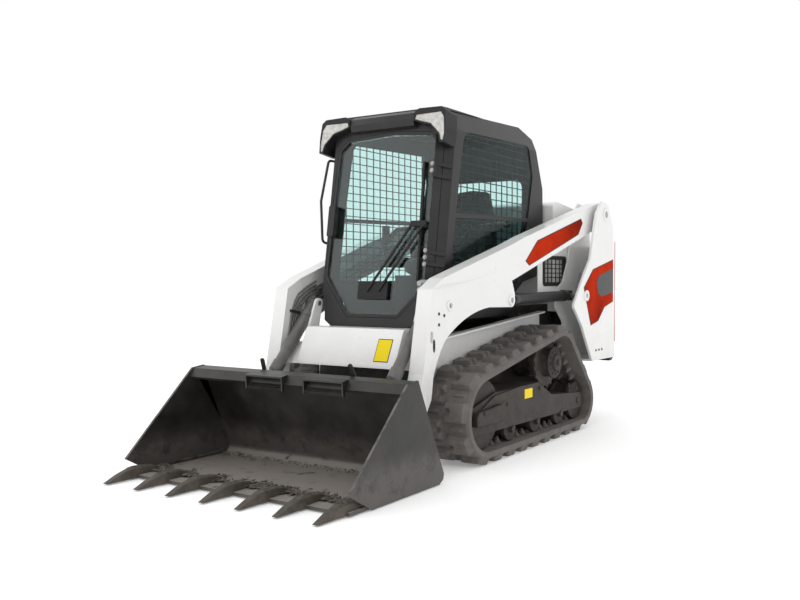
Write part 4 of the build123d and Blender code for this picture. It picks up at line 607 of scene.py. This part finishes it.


# the arm's slot as a black oval plate, which is painted shade for the dark inside the hole, the raised line along
# it and the knee's bolts, and the bolts low on each tower
armSpec = dict(slot=dict(centre=(-0.545, 0.640), half=(0.010, 0.034)),
               line=[(-0.540, 0.930), (-0.278, 0.962), (-0.060, 1.005), (0.194, 1.071), (0.215, 1.060),
                     (0.215, 1.040)],
               bolts=[(-0.500, 0.800), (-0.452, 0.790), (-0.500, 0.745)],
               towerBolts=[(1.150, 0.500), (1.200, 0.500), (1.250, 0.500)])
for side, name in ((1, "left"), (-1, "right")):
    place = onArm(side)
    # painted shade: a black oval plate laid on the arm where the slot's inside lies in shade
    makePiece("arm_slot_painted_shade_" + name, slab(oval(**armSpec["slot"]), 0.0, 0.0012, place), "lift_arm", "black_plastic")
    crease = easedPath([(side * np.interp(y, armFace["y"], armFace["x"]), y, z) for y, z in armSpec["line"]], 2)
    makePiece("arm_crease_" + name, carried(ringOutline(0.0022, 8), crease), "lift_arm", "white_paint")
    spots = [(side * float(np.interp(y, armFace["y"], armFace["x"])), y, z) for y, z in armSpec["bolts"]]
    makePiece("arm_bolts_" + name, stampAt(boltHead((side, 0, 0), 0.006, 0.004), spots), "lift_arm", "dark_paint")
    spots = [(side * towerFace, y, z) for y, z in armSpec["towerBolts"]]
    makePiece("tower_bolts_" + name, stampAt(boltHead((side, 0, 0), 0.006), spots), "chassis", "dark_paint")

# the bolts on the door's frame, which leans with the cab's front
doorBolts = [(0.357, 0.905), (0.357, 0.868), (0.357, 0.432), (0.357, 0.395), (0.357, 0.358), (-0.318, 0.620)]
lean = onFront(0, 0, 1) - onFront(0, 0, 0)
makePiece("door_bolts", stampAt(boltHead(lean, 0.0085), [tuple(onFront(x, h, 0.0205)) for x, h in doorBolts]),
          "front_door", "bare_steel")
# matt trim on the cab's rear wall, under the rear window
trimSpec = dict(outline=[(-0.350, 1.008), (0.350, 1.008), (0.350, 1.196), (-0.350, 1.196)], y=0.868)
makePiece("rear_trim", slab(trimSpec["outline"], 0.0, 0.006,
                            lambda a, b, out: np.stack([a, trimSpec["y"] - out + 0 * a, b], -1)),
          "chassis", "black_plastic", edge=0.002)
# the rubber seal that closes the slit between the roof and the rear of the cab
sealSpec = dict(half=0.309, outline=[(0.611, 1.906), (0.653, 1.896), (0.653, 1.9165), (0.640, 1.9215),
                                     (0.611, 1.9300)])
makePiece("roof_seal", slab(sealSpec["outline"], -sealSpec["half"], sealSpec["half"],
                            lambda a, b, out: np.stack([out + 0 * a, a, b], -1)), "chassis", "black_plastic")
print("arms and door dressed")

# the tailgate's pull handle on its plate, and a keyed latch beside it
gateSpec = dict(y=1.541, z=1.120, plate=[(-0.095, 1.085), (0.095, 1.085), (0.105, 1.095), (0.105, 1.148),
                                          (0.095, 1.158), (-0.095, 1.158), (-0.105, 1.148), (-0.105, 1.095)],
                pull=[(-0.078, 0.002), (-0.072, 0.014), (0.072, 0.014), (0.078, 0.002)])


def onGate(a, b, out):
    # places on the tailgate's upright face: y = face + out
    return np.stack([a, gateSpec["y"] + out + 0 * a, b], -1)


pull = easedPath([(x, gateSpec["y"] + out, gateSpec["z"]) for x, out in gateSpec["pull"]])
latch = turned([(-0.001, 0.016), (0.004, 0.016), (0.005, 0.012), (0.009, 0.011), (0.009, 0.004)],
               (0.160, gateSpec["y"], gateSpec["z"]), (0, 1, 0), 28)
makePiece("gate_handle", joinShapes([slab(gateSpec["plate"], -0.001, 0.004, onGate),
                                     carried(ringOutline(0.0055, 12), pull), latch]),
          "tailgate", "black_plastic", edge=0.0012)
print("tail dressed")

# bands round the barrels ride their own barrels: an open ring, so that the rod slides through it
for kind, x, back, front, radius in (("lift", 0.560, (0.988, 0.869), (0.208, 0.869), 0.033),
                                     ("tilt", 0.400, (-0.405, 0.840), (-0.665, 0.530), 0.031)):
    for side, name in ((1, "left"), (-1, "right")):
        start = np.array((side * x, *back))
        run = unit(np.array((side * x, *front)) - start)
        ring = [(0.070, radius - 0.003), (0.070, radius + 0.002), (0.072, radius + 0.004), (0.098, radius + 0.004),
                (0.100, radius + 0.002), (0.100, radius - 0.003)]
        points, _ = turned(ring, start, run, 32)
        makePiece(f"{kind}_band_{name}", gridShape(points.reshape(len(ring), 32, 3), loopRows=True, loopCols=True),
                  f"{kind}_barrel_{name}", "dark_paint", look="grey_paint" if kind == "tilt" else "dark_paint")
print("cylinders dressed")


def takeMesh(thing):
    # the mesh as its modifiers leave it
    graph = bpy.context.evaluated_depsgraph_get()
    return bpy.data.meshes.new_from_object(thing.evaluated_get(graph))


def pointsOf(mesh):
    flat = np.empty(len(mesh.vertices) * 3)
    mesh.vertices.foreach_get("co", flat)
    return flat.reshape(-1, 3)


def clampTo(points, low, high):
    # each coordinate kept between low and high
    return np.minimum(np.maximum(points, np.asarray(low)), np.asarray(high))


# seat cushion and back
padSpec = dict(voxel=0.006, pressure=4.0, frames=20, cap=0.022, fill=0.6, depth=0.006, width=0.007)


def groove(distance):
    # share of the full depth = exp(-(distance / width)^2)
    return np.exp(-(distance / padSpec["width"]) ** 2)


def softPad(name, shape, stands, channel):
    # each pad starts a little small, swells as cloth under pressure with no point moved further than the cap,
    # and then takes its channels
    mesh = bpy.data.meshes.new(name)
    mesh.from_pydata(np.asarray(shape[0]).tolist(), [], shape[1])
    pad = bpy.data.objects.new(name, mesh)
    scene.collection.objects.link(pad)
    weave = pad.modifiers.new("remesh", "REMESH")
    weave.mode, weave.voxel_size = "VOXEL", padSpec["voxel"]
    start = takeMesh(pad)
    pad.modifiers.clear()
    pad.data = start
    rest = pointsOf(start)
    cloth = pad.modifiers.new("cloth", "CLOTH")
    cloth.settings.use_pressure = True
    cloth.settings.uniform_pressure_force = padSpec["pressure"]
    cloth.settings.effector_weights.gravity = 0.0
    cloth.point_cache.frame_start, cloth.point_cache.frame_end = 1, padSpec["frames"]
    for step in range(1, padSpec["frames"] + 1):
        scene.frame_set(step)
    swollen = takeMesh(pad)
    pad.modifiers.clear()
    moved = pointsOf(swollen) - rest
    reach = np.linalg.norm(moved, axis=1)
    moved *= (np.minimum(reach, padSpec["cap"]) / np.maximum(reach, 1e-9))[:, None]
    rest = rest + moved
    scene.frame_set(1)
    rest = channel(rest)
    start.vertices.foreach_set("co", rest.ravel())
    start.update()
    start.polygons.foreach_set("use_smooth", np.ones(len(start.polygons), bool))
    start.materials.clear()
    start.materials.append(finish["seat_vinyl"])
    finer = pad.modifiers.new("finer", "SUBSURF")
    finer.levels = finer.render_levels = 1
    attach(pad, "chassis")
    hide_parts(*stands)


cushionSpec = dict(centre=(0, 0.375, 1.052), size=(0.452, 0.388, 0.080), channels=(-0.145, 0.0, 0.145),
                   rim=0.225, channelHalf=0.165, low=(-0.235, 0.17, 1.0), high=(0.235, 0.58, 1.11))


def cushionChannels(points):
    # three grooves run front to back and one along the rim, full on top and fading down the sides
    spec = cushionSpec
    top = np.clip((points[:, 2] - 1.045) / 0.03, 0, 1)
    cut = np.zeros(len(points))
    for x in spec["channels"]:
        cut += groove(points[:, 0] - x) * (np.abs(points[:, 1] - spec["centre"][1]) < spec["channelHalf"])
    points[:, 2] -= padSpec["depth"] * top * np.clip(cut + groove(points[:, 1] - spec["rim"]), 0, 1)
    return clampTo(points, spec["low"], spec["high"])


# the back's sections, each (z, front y, rear y, half width), narrowing to the headrest
backSpec = dict(sections=[(0.992, 0.590, 0.680, 0.165), (1.010, 0.584, 0.684, 0.200), (1.150, 0.594, 0.694, 0.214),
                          (1.320, 0.620, 0.712, 0.205), (1.420, 0.636, 0.724, 0.180), (1.500, 0.648, 0.733, 0.150),
                          (1.548, 0.660, 0.736, 0.125), (1.560, 0.672, 0.732, 0.100)],
                sides=36, channels=(1.115, 1.225, 1.335, 1.445), low=(-0.225, 0.580, 0.984),
                high=(0.225, 0.745, 1.574))


def backShape():
    # each section: x = half |cos u|^0.4, y = middle + half depth |sin u|^0.5, each with its sign
    rows = []
    turn = np.linspace(0, 2 * np.pi, backSpec["sides"], endpoint=False)
    for z, front, rear, half in backSpec["sections"]:
        x = np.sign(np.cos(turn)) * np.abs(np.cos(turn)) ** 0.4 * half
        y = (front + rear) / 2 + np.sign(np.sin(turn)) * np.abs(np.sin(turn)) ** 0.5 * (rear - front) / 2
        rows.append(np.stack([x, y, np.full(backSpec["sides"], z)], 1))
    return gridShape(np.array(rows), loopCols=True, capped=True)


def backChannels(points):
    # grooves run across the front half only
    front = points[:, 1] < np.interp(points[:, 2], [0.98, 1.56], [0.632, 0.700])
    cut = np.zeros(len(points))
    for z in backSpec["channels"]:
        cut += groove(points[:, 2] - z)
    points[:, 1] += padSpec["depth"] * front * np.clip(cut, 0, 1)
    return clampTo(points, backSpec["low"], backSpec["high"])


cushion = swollenBox(cushionSpec["centre"], cushionSpec["size"], power=0.28, rows=18, cols=40)
softPad("seat_pad", cushion, ["seat_cushion"], cushionChannels)
softPad("seat_back_pad", backShape(), ["seat_back"], backChannels)
print("seat made")


floorMesh = bpy.data.meshes.new("floor")
floorMesh.from_pydata([(-60, -60, 0), (60, -60, 0), (60, 60, 0), (-60, 60, 0)], [], [(0, 1, 2, 3)])
floor = bpy.data.objects.new("floor", floorMesh)
scene.collection.objects.link(floor)
floorFinish = makeFinish("floor_finish", color=(0.95, 0.95, 0.95), rough=0.9, tint=(0.94, 0.94, 0.94),
                         roughSpread=0.02)
floorFinish.node_tree.nodes["Principled BSDF"].inputs["Emission Color"].default_value = (1.0, 1.0, 1.0, 1.0)
floorFinish.node_tree.nodes["Principled BSDF"].inputs["Emission Strength"].default_value = 0.2
floorMesh.materials.append(floorFinish)

lightSpec = {
    "key": dict(place=(0.5, -7.5, 6.0), size=5.0, power=95.0),
    "fill": dict(place=(-6.5, -5.0, 5.0), size=6.0, power=30.0),
    "rim": dict(place=(3.0, 7.0, 6.0), size=5.0, power=18.0),
}
for lightName, spec in lightSpec.items():
    lamp = bpy.data.lights.new(lightName, "AREA")
    lamp.size, lamp.energy = spec["size"], spec["power"]
    lampObject = bpy.data.objects.new(lightName, lamp)
    lampObject.location = spec["place"]
    lampObject.rotation_euler = (Vector((0, 0, 0.7)) - Vector(spec["place"])).to_track_quat("-Z", "Y").to_euler()
    scene.collection.objects.link(lampObject)
world = bpy.data.worlds.new("studio")
world.use_nodes = True
world.node_tree.nodes["Background"].inputs["Color"].default_value = (1.0, 1.0, 1.0, 1.0)
world.node_tree.nodes["Background"].inputs["Strength"].default_value = 1.0
scene.world = world
scene.view_settings.view_transform = "Standard"

viewSpec = {"place": (2.9165, -4.0452, 0.9817), "turn": 30.42, "drop": 1.482, "lens": 37.76, "shift": -0.1125}
camera = bpy.data.cameras.new("camera")
camera.lens, camera.sensor_width, camera.shift_x = viewSpec["lens"], 36.0, viewSpec["shift"]
cameraObject = bpy.data.objects.new("camera", camera)
turn, drop = math.radians(viewSpec["turn"]), math.radians(viewSpec["drop"])
facing = Vector((-math.sin(turn) * math.cos(drop), math.cos(turn) * math.cos(drop), -math.sin(drop)))
cameraObject.location = viewSpec["place"]
cameraObject.rotation_euler = facing.to_track_quat("-Z", "Y").to_euler()
scene.collection.objects.link(cameraObject)
scene.camera = cameraObject
print("camera, floor and lights placed")
